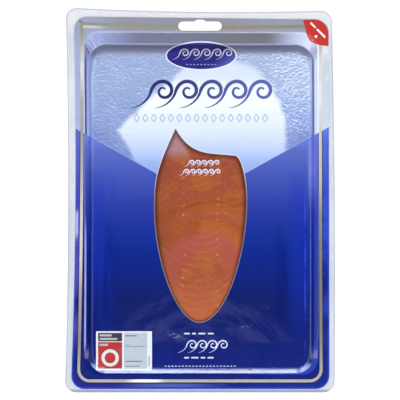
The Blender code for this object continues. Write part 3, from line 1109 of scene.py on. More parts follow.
@dataclass(frozen=True)
class PrintedFilm:
    """Metallised lid film: silver-blue above a shallow V, deep blue below, with white mist, and with
    painted shade and highlights on its folds, facets and flange.
    """

    v_height: float = 1.5
    v_slope: float = 0.553
    silver_left: Colour = srgb(164, 184, 226)
    # Silver under painted light: the lighter right side, patches and flange corners.
    silver_right_lit: Colour = srgb(184, 199, 233)
    silver_low: Colour = srgb(142, 161, 216)
    silver_foot: Colour = srgb(112, 132, 200)
    # Painted shade and highlights of the formed rim: shoulder, facets and creases.
    shoulder_top_shade: Colour = srgb(138, 141, 170)
    facet_top_shade: Colour = srgb(91, 95, 118)
    facet_top_warm_shade: Colour = srgb(90, 89, 100)
    facet_top_left_shading: Colour = srgb(132, 142, 184)
    facet_top_right_light: Colour = srgb(178, 184, 212)
    facet_left_shade: Colour = srgb(86, 94, 150)
    facet_left_highlight: Colour = srgb(176, 186, 222)
    facet_right_highlight: Colour = srgb(236, 242, 255)
    crease_top_highlight: Colour = srgb(176, 182, 212)
    crease_left_highlight: Colour = srgb(180, 190, 224)
    crease_right_shade: Colour = srgb(62, 74, 132)
    flange_top: Colour = srgb(160, 161, 176)
    flange_left: Colour = srgb(178, 192, 230)
    # Painted glare on the right flange.
    flange_right_glare: Colour = srgb(240, 247, 255)
    mist_top: Colour = srgb(204, 215, 238)
    mist_low: float = 20.0
    mist_high: float = 70.0
    mist_stops: tuple[tuple[float, Colour], ...] = (
        (0.00, srgb(136, 160, 218)),
        (0.13, srgb(148, 170, 222)),
        (0.25, srgb(167, 187, 230)),
        (0.36, srgb(184, 200, 235)),
        (0.48, srgb(198, 211, 237)),
        (0.60, srgb(209, 220, 238)),
        (0.72, srgb(217, 225, 238)),
        (0.90, srgb(226, 234, 240)),
        (1.00, srgb(234, 239, 241)),
    )
    blue_low: float = -125.0
    blue_high: float = 50.0
    blue_stops: tuple[tuple[float, Colour], ...] = (
        (0.02, srgb(19, 32, 111)),
        (0.08, srgb(15, 29, 103)),
        (0.21, srgb(12, 27, 94)),
        (0.29, srgb(13, 26, 93)),
        (0.40, srgb(13, 32, 114)),
        (0.50, srgb(13, 38, 129)),
        (0.61, srgb(27, 48, 143)),
        (0.71, srgb(45, 60, 156)),
        (0.82, srgb(67, 83, 171)),
        (0.925, srgb(86, 103, 184)),
        (0.97, srgb(104, 125, 202)),
    )
    # Painted shade of the film's soft upright folds.
    blue_shade_streak: Colour = srgb(2, 20, 104)
    blue_side: Colour = srgb(18, 46, 172)
    blue_edge: Colour = srgb(44, 76, 220)
    # Painted shade on the foot's facet.
    facet_foot_shade: Colour = srgb(8, 20, 92)
    # Painted sheen on the right facets, shoulder lines and the flange outside the gold line.
    rim_sheen_left: Colour = srgb(92, 84, 172)
    rim_sheen_right: Colour = srgb(62, 86, 206)
    # Painted highlight on the foot's shoulder.
    foot_highlight: Colour = srgb(150, 170, 240)
    sheen: Colour = srgb(128, 146, 228)
    glare: Colour = srgb(196, 205, 246)
    swell_tone: Colour = srgb(44, 51, 110)
    swell_top: float = -56.0
    swell_foot: float = -106.5
    # Painted highlight on the left fold line.
    fold_highlight: Colour = srgb(140, 154, 238)
    # Painted light in the side folds.
    side_fold_light: Colour = srgb(112, 124, 210)
    gold_outline: Colour = srgb(24, 26, 66)

    def build(self, effects: Effects) -> bpy.types.Material:
        """Make the material from the shared node groups.

        Args:
            effects: the shared node groups.

        Returns:
            The material.
        """
        material, n, shader = new_material("printed_film")
        place, x, y = n.place()
        mouth, groove = n.field("into_mouth"), n.field("into_groove")
        flange = n.ease(mouth, 0.4, -0.2)
        facet = n.ease(groove, 0.3, -0.5) * (1.0 - flange)
        at = Spot(n, place, x, y, mouth, groove, facet, n.noise(place, 45.0, 3.0, 0.55))
        above = y - (abs(x - 0.5) * self.v_slope + self.v_height)
        is_silver = n.ease(above, -0.3, 0.3)
        mist = self._mist(at)
        silver = n.paint(self._silver(at), self.silver_foot, 0.55, (above, 19.0, 2.0),
                         (groove, 0.0, 3.0))
        silver = n.mix(flange, silver, self._silver_flange(at))
        rise = (y - self.mist_low) / (self.mist_high - self.mist_low)
        white = n.paint(n.ramp(rise, self.mist_stops), self.mist_top, 0.8, (y, 80.0, 93.0))
        silver = n.mix(mist, silver, white)
        blue = self._blue_rim(at, self._blue(at))
        n.feed(shader.inputs["Metallic"], is_silver * (1.0 - mist) * 0.3)
        shader.inputs["IOR"].default_value = 1.5
        hammered = n.ease(x, 42.0, 66.0) * n.ease(y, 45.0, 62.0)
        calm = 1.0 - mist * 0.7
        depth = 0.2 + is_silver * (0.7 + hammered) * n.ease(groove, -2.0, 6.0) * calm
        ripple, = n.group(effects.film_ripple, Place=place, Size=2.0, Depth=depth)
        finish(n, shader, n.mix(is_silver, blue, silver), 0.11 + is_silver * 0.19, ripple,
               0.8, 0.0006)
        return material

    def _blue(self, at: Spot) -> Wire:
        """Colour the blue part: a long fade, faint upright streaks of painted shade and low pale
        swells.

        Args:
            at: the place.

        Returns:
            The colour.
        """
        n, x, y, groove = at.n, at.x, at.y, at.groove
        depth = (y - self.blue_low) / (self.blue_high - self.blue_low)
        blue = n.ramp(depth, self.blue_stops)
        # Painted shade: faint darker upright streaks where the film folds softly.
        upright = n.noise(n.join(x * 0.08, y * 0.008), 1.0, 2.0, 0.5)
        blue = n.paint(blue, self.blue_shade_streak, 0.4, (upright, 0.5, 0.32), (y, 0.0, -40.0))
        blue = n.paint(blue, self.blue_side, 0.35, (groove, 22.0, 13.0), (groove, 0.5, 1.8),
                       (y, 32.0, 0.0), (y, -118.0, -62.0), (upright, 0.3, 0.5))
        arch = y + x * (x * 0.009)
        brushed = n.noise(n.join(x * 0.045, arch * 0.1), 1.0, 4.0, 0.6)
        low_swell = n.mask(1.0, (arch, self.swell_top, self.swell_top - 18.0),
                           (y, self.swell_foot, self.swell_foot + 3.0))
        return n.mix(low_swell * n.ease(brushed, 0.38, 0.66) * 0.75, blue, self.swell_tone)

    def _blue_rim(self, at: Spot, blue: Wire) -> Wire:
        """Colour the blue part's rim: painted shade and light on the facets, painted highlights on the
        folds, painted sheen and glare on the flange, and the printed outlines of the gold and the
        edge.

        Args:
            at: the place.
            blue: the colour of the blue part.

        Returns:
            The colour.
        """
        n, x, y, groove, facet = at.n, at.x, at.y, at.groove, at.facet
        in_gold, in_print = n.field("into_gold"), n.field("into_print")
        # Painted shade: the facet at the foot is darker.
        blue = n.mix(facet * n.ease(y, -112.0, -122.0) * 0.6, blue, self.facet_foot_shade)
        # Painted light: the right facets are lighter.
        blue = n.mix(facet * n.ease(x, 20.0, 60.0) * 0.44, blue, self.rim_sheen_right)
        # Painted highlights: thin bright lines along the right shoulder.
        blue = n.paint(blue, self.rim_sheen_right, 0.4, (abs(groove - 6.4), 1.0, 0.3), (x, 60.0, 70.0),
                       (y, 20.0, -10.0), (y, -120.0, -104.0), (at.cloud, 0.35, 0.6))
        # Painted light: the folds at both sides are lighter.
        blue = n.paint(blue, self.side_fold_light, 0.95, (abs(groove - 0.8), 4.6, 1.6),
                       (abs(x), 60.0, 68.0), (y + x * 0.2, 4.0, 46.0))
        # Painted highlight: a thin pale line on the left fold.
        blue = n.paint(blue, self.fold_highlight, 0.8, (at.mouth, 1.5, 1.0), (at.mouth, -0.2, 0.3),
                       (x, -74.0, -78.0), (y, -113.0, -106.0), (y, -8.0, -32.0))
        # Painted sheen on the flange outside the gold line, weaker low down on the right.
        flange_sheen_tone = n.mix(n.ease(x, -60.0, 60.0), self.rim_sheen_left, self.rim_sheen_right)
        outside = n.ease(in_gold, 0.4, -0.4)
        dim = 0.55 - n.mask(0.25, (y, -20.0, -60.0), (x, 0.0, 60.0))
        high = 0.08 + n.ease(y, -112.0, -94.0) * dim
        blue = n.mix(outside * n.ease(at.cloud, 0.3, 0.6) * high, blue, flange_sheen_tone)
        # Painted highlight: a pale crescent on the shoulder at the foot, widest at the left.
        reach = 2.3 + x * (x * 0.0004 - 0.012)
        blue = n.paint(blue, self.foot_highlight, 0.46, (groove, -0.4, 0.4), (y, -119.5, -123.0),
                       (groove - reach, 0.6, -1.4))
        sheen = n.mask(outside, (y, -134.6, -136.2), (abs(x + 22.0), 46.0, 6.0),
                       (in_print, 0.9, 1.7))
        blue = n.mix(sheen * 0.26, blue, self.sheen)
        blue = n.paint(blue, self.glare, 0.8, (in_print, 2.7, 1.3), (x, -80.0, -84.0),
                       (y, -6.0, -11.0), (y, -31.0, -23.0), (at.cloud, 0.35, 0.55))
        blue = n.paint(blue, self.gold_outline, 0.6, (abs(in_gold - 1.07), 2.2, 1.3))
        return n.paint(blue, self.blue_edge, 0.4, (in_print, 1.9, 0.6))

    def _silver(self, at: Spot) -> Wire:
        """Colour the silver part inside the mouth: plateau, shoulder, facets and crease, with painted
        light, shade and highlights.

        Args:
            at: the place.

        Returns:
            The colour.
        """
        n, x, y = at.n, at.x, at.y
        # Painted light: the plateau is lighter to the right and in random patches.
        plateau = n.mix(n.ease(x, -55.0, 75.0), self.silver_left, self.silver_right_lit)
        plateau = n.paint(plateau, self.silver_low, 0.8, (y, 92.0, 56.0))
        plateau = n.paint(plateau, self.silver_right_lit, 0.25, (at.cloud, 0.35, 0.7))
        at_top, to_right = n.ease(y, 101.0, 110.0), n.ease(x, -20.0, 20.0)
        # Painted shade: the top shoulder is greyer.
        plateau = n.paint(plateau, self.shoulder_top_shade, at_top, (at.groove, 10.0, 4.6))
        # Painted shade on the left facet near the fold, and a painted highlight further in.
        left = n.mix(n.ease(at.mouth, 2.0, 1.3), self.facet_left_highlight, self.facet_left_shade)
        # Painted shade on the top facet, lighter towards its left and right ends.
        top = n.mix(n.ease(x, -20.0, 30.0), self.facet_top_shade, self.facet_top_warm_shade)
        top = n.mix(n.ease(x, 48.0, 80.0), top, self.facet_top_right_light)
        top = n.mix(n.ease(x, -40.0, -82.0), top, self.facet_top_left_shading)
        # Painted highlight on the right facet.
        facets = n.mix(at_top, n.mix(to_right, left, self.facet_right_highlight), top)
        # Painted highlights along the creases, and painted shade along the right one.
        sides = n.mix(to_right, self.crease_left_highlight, self.crease_right_shade)
        creases = n.mix(at_top, sides, self.crease_top_highlight)
        formed = n.paint(n.mix(at.facet, plateau, facets), creases, 0.7,
                         (abs(at.groove), 1.3, 0.2))
        # Painted shade along the mitred crease at the left top corner.
        mitre_shade = n.stroke(x, y, (-86.8, 118.2), (-82.4, 109.0), 0.5)
        return n.mix(mitre_shade * 0.7, formed, self.facet_left_shade)

    def _silver_flange(self, at: Spot) -> Wire:
        """Colour the silver part's flange, with painted glare, painted light, and painted highlight
        and shade strokes.

        Args:
            at: the place.

        Returns:
            The colour.
        """
        n, x, y = at.n, at.x, at.y
        # Painted glare: the flange turns near white to the right.
        sides = n.mix(n.ease(x, 0.0, 20.0), self.flange_left, self.flange_right_glare)
        sides = n.paint(sides, self.silver_low, 0.3, (at.cloud, 0.62, 0.4))
        # Painted light: the top flange is lighter towards its corners.
        top = n.paint(self.flange_top, self.silver_right_lit, 0.45, (x, -50.0, -84.0))
        top = n.paint(top, self.silver_right_lit, 0.15, (x, 20.0, 60.0))
        flange = n.mix(n.ease(y, 112.0, 124.0), sides, top)
        # A painted highlight stroke under the gold line at the left top.
        shine_highlight = n.stroke(x, y, (-86.0, 127.9), (-66.0, 127.2), 0.9)
        flange = n.mix(shine_highlight * n.ease(x, -66.0, -80.0) * 0.6, flange, self.flange_right_glare)
        # Painted shade of the crease at the left top corner.
        corner = n.stroke(x, y, (-88.8, 132.4), (-86.6, 129.8), 0.9)
        return n.mix(corner * 0.6, flange, self.facet_left_shade)

    def _mist(self, at: Spot) -> Wire:
        """Mask a soft white rise of mist behind the title, steep to the left and round right.

        Args:
            at: the place.

        Returns:
            The mask.
        """
        n, x, y = at.n, at.x, at.y
        torn = (n.noise(at.place, 55.0, 3.0, 0.55) - 0.5) * 7.0
        slope = (x + 63.5) * 0.683 - (y - 50.0) * 0.73
        u = n.most(x - 17.0, 0.0) / 47.0
        v = (y - 45.0) / 59.0
        dome = (1.0 - n.math("SQRT", u * u + v * v)) * 47.0
        foot = (x + 59.0) * 0.84 + (y - 47.0) * 0.55
        return n.ease(n.least(n.least(slope, dome), foot) + torn, -1.8, 2.6)


@dataclass(frozen=True)
class ClearFilm:
    """Clear glossy film, which turns milky where it is sealed round the tray, darker at its cut edge
    partly as painted shade, and in the window darkened into a painted shade near its rim.
    """

    name: str
    tint: Colour = srgb(222, 226, 232)
    streak: Colour = srgb(238, 240, 244)
    low_tone: Colour = srgb(203, 207, 217)
    top_tone: Colour = srgb(243, 245, 247)
    alpha: float = 0.22
    seal_and_shade_alpha: float = 0.76
    cut_edge_and_shade: Colour = srgb(162, 165, 184)
    edge_y: float = -138.8

    def build(self, effects: Effects) -> bpy.types.Material:
        """Make the material from the shared node groups.

        Args:
            effects: the shared node groups.

        Returns:
            The material.
        """
        material, n, shader = new_material(self.name)
        place, x, y = n.place()
        along = n.noise(n.join(x * 0.22, y * 0.02), 1.0, 3.0)
        # A darker line along the cut edge and at the foot: partly the edge's own tone, partly painted
        # shade.
        rim = n.mask(0.55, (n.field("into_edge"), 1.2, 0.4))
        cut = n.most(n.ease(y, self.edge_y, self.edge_y - 2.0), rim)
        tone = n.mix(n.ease(along, 0.35, 0.65), self.tint, self.streak)
        tone = n.paint(tone, self.low_tone, 0.6, (y, 60.0, -60.0))
        tone = n.paint(tone, self.top_tone, 0.8, (y, 116.0, 130.0))
        # The sealed share: milky on the tray's seal, a painted shade inside the window's rim.
        sealed = n.mask(self.seal_and_shade_alpha - self.alpha, (n.field("into_mouth"), 0.4, -0.4))
        n.feed(shader.inputs["Alpha"], self.alpha + sealed)
        ripple, = n.group(effects.film_ripple, Place=place, Size=22.0, Depth=0.4)
        finish(n, shader, n.mix(cut, tone, self.cut_edge_and_shade), 0.08 + along * 0.1, ripple, 0.3, 0.0003)
        return material


@dataclass(frozen=True)
class Ink:
    """A printed colour on the film."""

    name: str
    colour: Colour

    def build(self, effects: Effects) -> bpy.types.Material:
        """Make the material from the shared node groups.

        Args:
            effects: the shared node groups.

        Returns:
            The material.
        """
        material, n, shader = new_material(self.name)
        print_ink(n, shader, effects, n.place()[0], self.colour)
        return material


@dataclass(frozen=True)
class FadingInk:
    """A printed colour that runs from one tone to another along a direction of the pack."""

    name: str
    start: Colour
    end: Colour
    low: float
    high: float
    direction: Point = (1.0, 0.0)

    def build(self, effects: Effects) -> bpy.types.Material:
        """Make the material from the shared node groups.

        Args:
            effects: the shared node groups.

        Returns:
            The material.
        """
        material, n, shader = new_material(self.name)
        place, x, y = n.place()
        run = x * self.direction[0] + y * self.direction[1]
        along = n.ease(run, self.low, self.high)
        print_ink(n, shader, effects, place, n.mix(along, self.start, self.end))
        return material


@dataclass(frozen=True)
class GoldPrint:
    """The pale gold frame line, whose tone changes round the pack with painted sheen and a painted
    glint.
    """

    name: str = "gold_line"
    low: float = -134.0
    high: float = 131.0
    left_tone_and_sheen: tuple[tuple[float, Colour], ...] = (
        (0.00, srgb(164, 158, 148)),
        (0.12, srgb(134, 122, 120)),
        (0.23, srgb(158, 146, 142)),
        (0.34, srgb(206, 196, 190)),
        (0.46, srgb(212, 202, 196)),
        (0.56, srgb(192, 184, 180)),
        (0.68, srgb(170, 164, 152)),
        (0.78, srgb(186, 180, 166)),
        (0.87, srgb(238, 240, 230)),
        (0.97, srgb(168, 161, 138)),
    )
    right_tone_and_sheen: tuple[tuple[float, Colour], ...] = (
        (0.00, srgb(164, 158, 148)),
        (0.12, srgb(124, 114, 110)),
        (0.30, srgb(116, 112, 106)),
        (0.45, srgb(134, 136, 124)),
        (0.56, srgb(192, 190, 168)),
        (0.68, srgb(210, 208, 190)),
        (0.80, srgb(242, 240, 230)),
        (0.90, srgb(232, 228, 206)),
        (0.98, srgb(160, 150, 126)),
    )
    glint: Colour = srgb(250, 250, 244)
    glint_x: float = -40.0
    glint_reach: float = 17.0

    def build(self, effects: Effects) -> bpy.types.Material:
        """Make the material from the shared node groups.

        Args:
            effects: the shared node groups.

        Returns:
            The material.
        """
        material, n, shader = new_material(self.name)
        place, x, y = n.place()
        along = (y - self.low) / (self.high - self.low)
        # The gold's own colour with painted sheen that changes with height and side.
        tone = n.mix(n.ease(x, -60.0, 60.0), n.ramp(along, self.left_tone_and_sheen),
                     n.ramp(along, self.right_tone_and_sheen))
        # A painted glint on the gold line near the foot.
        tone = n.paint(tone, self.glint, 1.0, (abs(x - self.glint_x), self.glint_reach, 2.0),
                       (y, -126.0, -131.0))
        print_ink(n, shader, effects, place, tone, 0.1, 6.0)
        shader.inputs["Metallic"].default_value = 0.4
        return material


@dataclass(frozen=True)
class SalmonFlesh:
    """Cold smoked salmon: muscle bands with pale fat lines and a golden-brown smoked rim, with painted
    shade to the left and at the top and a pale tip that is partly a painted reflection.

    The mesh brings two fields in millimetres: into_slice, the distance in from the slice's
    outline, and under_slice, the distance in under the slices that cover it.
    """

    name: str
    bend: float
    slant: float
    spacing: float
    rim_width: float = 9.0
    amber_share: float = 0.0
    flesh: Colour = srgb(172, 84, 50)
    dark: Colour = srgb(144, 64, 40)
    pink: Colour = srgb(174, 82, 67)
    gold: Colour = srgb(178, 96, 38)
    fat: Colour = srgb(206, 122, 88)
    rim: Colour = srgb(156, 76, 18)
    amber: Colour = srgb(192, 100, 48)
    # Colour of the painted shade to the left and at the top.
    shade: Colour = srgb(136, 68, 36)
    foot: Colour = srgb(180, 94, 50)
    # Colour of the tip: partly the film bridging the slice's end, partly a painted reflection.
    tip: Colour = srgb(180, 138, 148)
    spot: Colour = srgb(212, 138, 98)

    def build(self, effects: Effects) -> bpy.types.Material:
        """Make the material from the shared node groups.

        Args:
            effects: the shared node groups.

        Returns:
            The material.
        """
        material, n, shader = new_material(self.name)
        place, x, y = n.place()
        line, fibre, cloud, spot = n.group(effects.flesh, Place=place, Bend=self.bend,
                                           Spacing=self.spacing, Slant=self.slant)
        width = self.rim_width
        torn = (cloud - 0.5) * 9.0
        inside = n.field("into_slice") + torn
        base = n.mix(n.ease(fibre, 0.3, 0.72), self.dark, self.flesh)
        patch = n.noise(place, 78.0, 2.0, 0.5)
        base = n.paint(base, self.gold, 0.65, (patch, 0.44, 0.64))
        under_rim = n.mask(0.8, (inside, width, width * 1.5), (inside, width * 3.4, width * 1.8))
        base = n.mix(n.most(under_rim, n.mask(0.5, (patch, 0.5, 0.3))), base, self.pink)
        base = n.paint(base, self.foot, 0.75, (y, -48.0, -84.0))
        smoked = n.most(n.ease(inside, width * 1.35, width * 0.55),
                        n.ease(n.field("under_slice") + torn, -6.0, 0.0))
        base = n.mix(smoked * n.ease(fibre, 0.75, 0.35) * 0.9, base, self.rim)
        base = n.paint(base, self.amber, self.amber_share, (inside, 1.0, 5.0), (inside, 15.0, 7.0),
                       (patch, 0.38, 0.52), (x, -22.0, -8.0))
        # Painted shade: darker towards the left and at the top.
        base = n.paint(base, self.shade, 0.45, (x, -10.0, -32.0))
        base = n.paint(base, self.shade, 0.35, (y, 28.0, 39.0))
        # The pale mauve tip: partly the film bridging over the slice's end and partly a painted
        # reflection.
        base = n.paint(base, self.tip, 0.85, (y, 28.0, 39.0), (x + y * 0.5, 11.0, 6.0))
        base = n.mix(line * 0.24, base, self.fat)
        base = n.mix(spot * 0.7, base, self.spot)
        shader.inputs["Specular IOR Level"].default_value = 0.25
        shader.inputs["Subsurface Weight"].default_value = 0.1
        shader.inputs["Subsurface Radius"].default_value = (0.004, 0.0015, 0.0008)
        finish(n, shader, base, 0.3 + cloud * 0.2,
               fibre - line * 0.4, 0.25, 0.0004)
        return material


@dataclass(frozen=True)
class BoardPaper:
    """Silver laminated board."""

    dark: Colour = srgb(196, 198, 204)
    pale: Colour = srgb(222, 223, 228)

    def build(self, effects: Effects) -> bpy.types.Material:
        """Make the material.

        Args:
            effects: the shared node groups; not used.

        Returns:
            The material.
        """
        material, n, shader = new_material("silver_board")
        fibre = n.noise(n.place()[0], 900.0, 4.0, 0.6)
        shader.inputs["Metallic"].default_value = 0.25
        finish(n, shader, n.mix(fibre, self.dark, self.pale), 0.35 + fibre * 0.2,
               fibre, 0.3, 0.0001)
        return material


# ---- Pieces ----


class Slot(Enum):
    """Names of the record's material slots, passed with each piece to settle."""

    CLEAR = "clear_film"
    PRINT = "printed_film"
    SALMON = "smoked_salmon"
    GOLD = "gold_print"
    LABEL = "label_paper"


def settle(piece: bpy.types.Object, material: bpy.types.Material, slot: Slot,
           nodes: Sequence[str] = ()) -> None:
    """Dress a piece and hand it to the frame.

    Args:
        piece: the finished piece.
        material: its finish.
        slot: the record's slot that it belongs to; not used.
        nodes: CAD nodes that it stands for.
    """
    piece.data.materials.clear()
    piece.data.materials.append(material)
    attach(piece, BODY)
    if nodes:
        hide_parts(*nodes)
    LOG.info("%s: %d faces", piece.name, len(piece.data.polygons))


@dataclass
class Films:
    """The base film, the lid film with its window, and the gold line on the flange."""

    plan: PackPlan
    surface: LidSurface
    effects: Effects
    window: WindowShape = WindowShape()
    long_steps: int = 112
    short_steps: int = 72
    corner_steps: int = 40
    lid_rows: tuple[int, int, int, int] = (5, 8, 14, 36)
    lid_thickness: float = 0.15
    window_shade: float = 4.5
    base_thickness: float = 0.35
    wall_room: float = 0.8
    wall_lean: float = 2.8
    floor_inset: float = 9.0
    floor_middle: Point = (0.5, -2.0)
    gold_width: float = 2.15
    gold_lift: float = 0.03
    gold_thickness: float = 0.1

    def ring(self, outline: Outline) -> Array:
        """Give an outline's points at the films' own spacing."""
        return outline.ring(self.long_steps, self.short_steps, self.corner_steps)

    @staticmethod
    def between(first: Array, last: Array, steps: int, power: float = 1.0) -> list[Array]:
        """Give rings from first up to, and without, last, closer near first if power is over 1."""
        return [first + (last - first) * (i / steps) ** power for i in range(steps)]

    def lid_rings(self) -> list[Array]:
        """Give the rings of the printed field, from its edge to the window.

        Returns:
            The rings, from outside in.
        """
        plan = self.plan
        edge, mouth, groove = (self.ring(outline) for outline in (
            plan.print_edge(), plan.mouth(), plan.groove()))
        shoulder = self.ring(plan.groove().inset(plan.shoulder_width + 0.4))
        window = self.window.towards(shoulder)
        flange, facet, rise, plateau = self.lid_rows
        rings = self.between(edge, mouth, flange) + self.between(mouth, groove, facet)
        rings += self.between(groove, shoulder, rise, 1.3)
        return rings + self.between(shoulder, window, plateau) + [window]

    def lid_piece(self, name: str, patch: Patch, fields: dict[str, Heights]) -> bpy.types.Object:
        """Make a piece of the lid film, whose upper face is the lid's."""
        return self.surface.piece(name, patch, -self.lid_thickness, self.lid_thickness, fields)

    def build_lid(self) -> None:
        """Make the printed film from its printed edge to the window."""
        plan = self.plan
        fields = {"into_mouth": self.surface.mouth.inside, "into_groove": self.surface.groove.inside,
                  "into_print": plan.print_edge().inside, "into_gold": plan.gold_line().inside}
        piece = self.lid_piece("lid_print", Patch().add_rings(self.lid_rings()), fields)
        cut_hole(piece, hang_slot(plan))
        settle(piece, PrintedFilm().build(self.effects), Slot.PRINT,
               ["lid_film", "lid_film_header"])

    def build_margin(self) -> None:
        """Make the clear margin of the lid film outside the print."""
        outer, inner = self.ring(self.plan.edge()), self.ring(self.plan.print_edge())
        patch = Patch().add_rings(self.between(outer, inner, 4) + [inner])
        piece = self.lid_piece("lid_margin", patch, {"into_edge": self.plan.edge().inside})
        film = ClearFilm("clear_margin", alpha=0.22, seal_and_shade_alpha=0.22)
        settle(piece, film.build(self.effects), Slot.CLEAR)

    def build_window(self) -> None:
        """Make the clear film in the window, tinted dark near its rim as a painted shade on the
        salmon.
        """
        outline = self.lid_rings()[-1]
        patch = Patch().add_disc(outline, self.window.centre(), 39)

        def from_rim(x: Array, y: Array) -> Array:
            """Give -0.4 on the sealed rim and 0.4 where its painted shade ends, and less painted shade
            low down.
            """
            gap = np.hypot(x[:, None] - outline[:, 0], y[:, None] - outline[:, 1]).min(axis=1)
            return 0.8 * gap / self.window_shade - 0.4 + 0.4 * smoothstep(y, -20.0, -90.0)

        # Here into_mouth carries the distance from the window's rim, which sets the painted shade.
        piece = self.lid_piece("window_film", patch, {"into_mouth": from_rim})
        # The dark tint, thicker near the rim, lays a painted shade on the salmon.
        dark = srgb(24, 26, 32)
        film = ClearFilm("window_film", tint=dark, streak=srgb(34, 37, 46), low_tone=dark,
                         cut_edge_and_shade=dark, alpha=0.04, seal_and_shade_alpha=0.26)
        settle(piece, film.build(self.effects), Slot.CLEAR, ["window_pane"])

    def build_base(self) -> None:
        """Make the formed clear film under everything."""
        plan = self.plan
        mouth = plan.mouth().inset(-self.wall_room)
        rings = self.between(self.ring(plan.edge()), self.ring(mouth), 6)
        rings += [self.ring(mouth.inset(float(d))) for d in np.linspace(0.0, self.wall_lean, 9)]
        floor = self.ring(mouth.inset(self.floor_inset))
        middle = np.array(self.floor_middle)
        rings += [middle + (floor - middle) * share for share in (1.0, 0.66, 0.33)]
        patch = Patch().add_rings(rings, middle)
        low, high = box_mm("base_film")
        floor_level = low[2] + self.base_thickness

        def top(x: Array, y: Array) -> Array:
            """Give the height of the inside: flange, leaning wall and floor."""
            share = np.clip(mouth.inside(x, y) / self.wall_lean, 0.0, 1.0)
            return high[2] + (floor_level - high[2]) * np.sin(share * math.pi / 2) ** 0.8

        piece = piece_from_patch("base_tray", patch, top,
                                 lambda x, y: top(x, y) - self.base_thickness,
                                 {"into_mouth": mouth.inside, "into_edge": plan.edge().inside})
        cut_hole(piece, hang_slot(plan))
        settle(piece, ClearFilm("clear_base").build(self.effects), Slot.CLEAR,
               ["base_film", "base_film_header"])

    def build_gold_line(self) -> None:
        """Make the gold frame line on the flange."""
        outer = self.plan.gold_line()
        inner = self.ring(outer.inset(self.gold_width))
        patch = Patch().add_rings(self.between(self.ring(outer), inner, 2) + [inner])
        piece = self.surface.piece("gold_frame_line", patch, self.gold_lift, self.gold_thickness)
        cut_hole(piece, hang_slot(self.plan))
        settle(piece, GoldPrint().build(self.effects), Slot.GOLD, ["gold_line"])

    def build(self) -> None:
        """Make all the films."""
        self.build_base()
        self.build_margin()
        self.build_lid()
        self.build_window()
        self.build_gold_line()


@dataclass
class Salmon:
    """The lower layer of salmon and the two shingled slices on it."""

    plan: PackPlan
    effects: Effects
    ring_steps: int = 168
    slice_step: float = 0.46
    slice_room: float = 0.08
    layer_room: float = 0.05
    band_depth: float = 0.035

    def bands(self, along: Array, spacing: float) -> Array:
        """Give the low relief of the muscle bands at places along the slice."""
        return self.band_depth * np.sin(along * 2 * math.pi / spacing)

    def slice_piece(self, name: str, oval: Oval, level: Point, flesh: SalmonFlesh,
                    node: str, cover: Heights) -> None:
        """Make one slice.

        Args:
            name: the piece's name.
            oval: its outline.
            level: its lowest and highest height.
            flesh: its finish.
            node: the CAD node that it stands for.
            cover: the distance in under the slices that cover it.
        """
        shares = 1.0 - np.linspace(0.0, 1.0, 44)[:-1] ** 1.25
        patch = Patch().add_rings([oval.ring(self.ring_steps, float(s)) for s in shares],
                                  np.array(oval.centre))
        low, high = level

        def top(x: Array, y: Array) -> Array:
            """Give the height of the slice, which is thin at its rim.

            Args:
                x: places along X.
                y: places along Y.

            Returns:
                The heights.
            """
            thick = smoothstep(oval.inside(x, y), 0.0, 6.0)
            bands = self.bands(y - flesh.bend * (x - SLICE_MIDDLE) ** 2, flesh.spacing)
            return high - self.slice_room - self.slice_step * (1.0 - thick) + bands * thick

        piece = piece_from_patch(name, patch, top, lambda x, y: x * 0.0 + low,
                                 {"into_slice": oval.inside, "under_slice": cover})
        settle(piece, flesh.build(self.effects), Slot.SALMON, [node])

    def build(self) -> None:
        """Make the three pieces of salmon."""
        plan = self.plan
        low, high = box_mm("salmon_lower_layer")
        outline = Outline((low[0] + 2.0, low[0] + 1.0), (high[0] - 2.0, high[0] - 1.0),
                          low[1] + 1.0, (high[1] - 1.0, high[1] - 3.0), 26.0, (1.5, -1.0, 1.0))
        patch = Patch().add_disc(outline.ring(60, 40, 14), np.array([0.0, -8.0]), 59)

        def covered(x: Array, y: Array) -> Array:
            """Give the distance in under the two slices on top."""
            return np.maximum(plan.middle_slice.inside(x, y), plan.upper_slice.inside(x, y))

        def top(x: Array, y: Array) -> Array:
            """Give the height of the layer, which is lower under the slices on top.

            Args:
                x: places along X.
                y: places along Y.

            Returns:
                The heights.
            """
            edge = np.clip(outline.inside(x, y) / 2.5, 0.0, 1.0)
            drop = 2.0 * smoothstep(covered(x, y), 2.0, 5.0) + 1.2 * (1.0 - edge) ** 2
            return high[2] - self.layer_room - drop + self.bands(y + 0.35 * x, 6.0) * edge

        piece = piece_from_patch("lower_salmon", patch, top, lambda x, y: x * 0.0 + low[2],
                                 {"into_slice": outline.inside, "under_slice": covered})
        flesh = SalmonFlesh("salmon_lower", -0.004, 0.5, 5.6)
        settle(piece, flesh.build(self.effects), Slot.SALMON, ["salmon_lower_layer"])
        for name, oval, node, bend, slant, amber, cover in (
            ("middle_slice", plan.middle_slice, "salmon_slice_middle", -0.012, 0.35, 0.2,
             plan.upper_slice.inside),
            ("upper_slice", plan.upper_slice, "salmon_slice_upper", 0.018, 0.0, 0.5,
             lambda x, y: x * 0.0 - 100.0),
        ):
            level = tuple(float(corner[2]) for corner in box_mm(node))
            flesh = SalmonFlesh("salmon_" + name, bend, slant, 5.4, amber_share=amber)
            self.slice_piece(name, oval, level, flesh, node, cover)


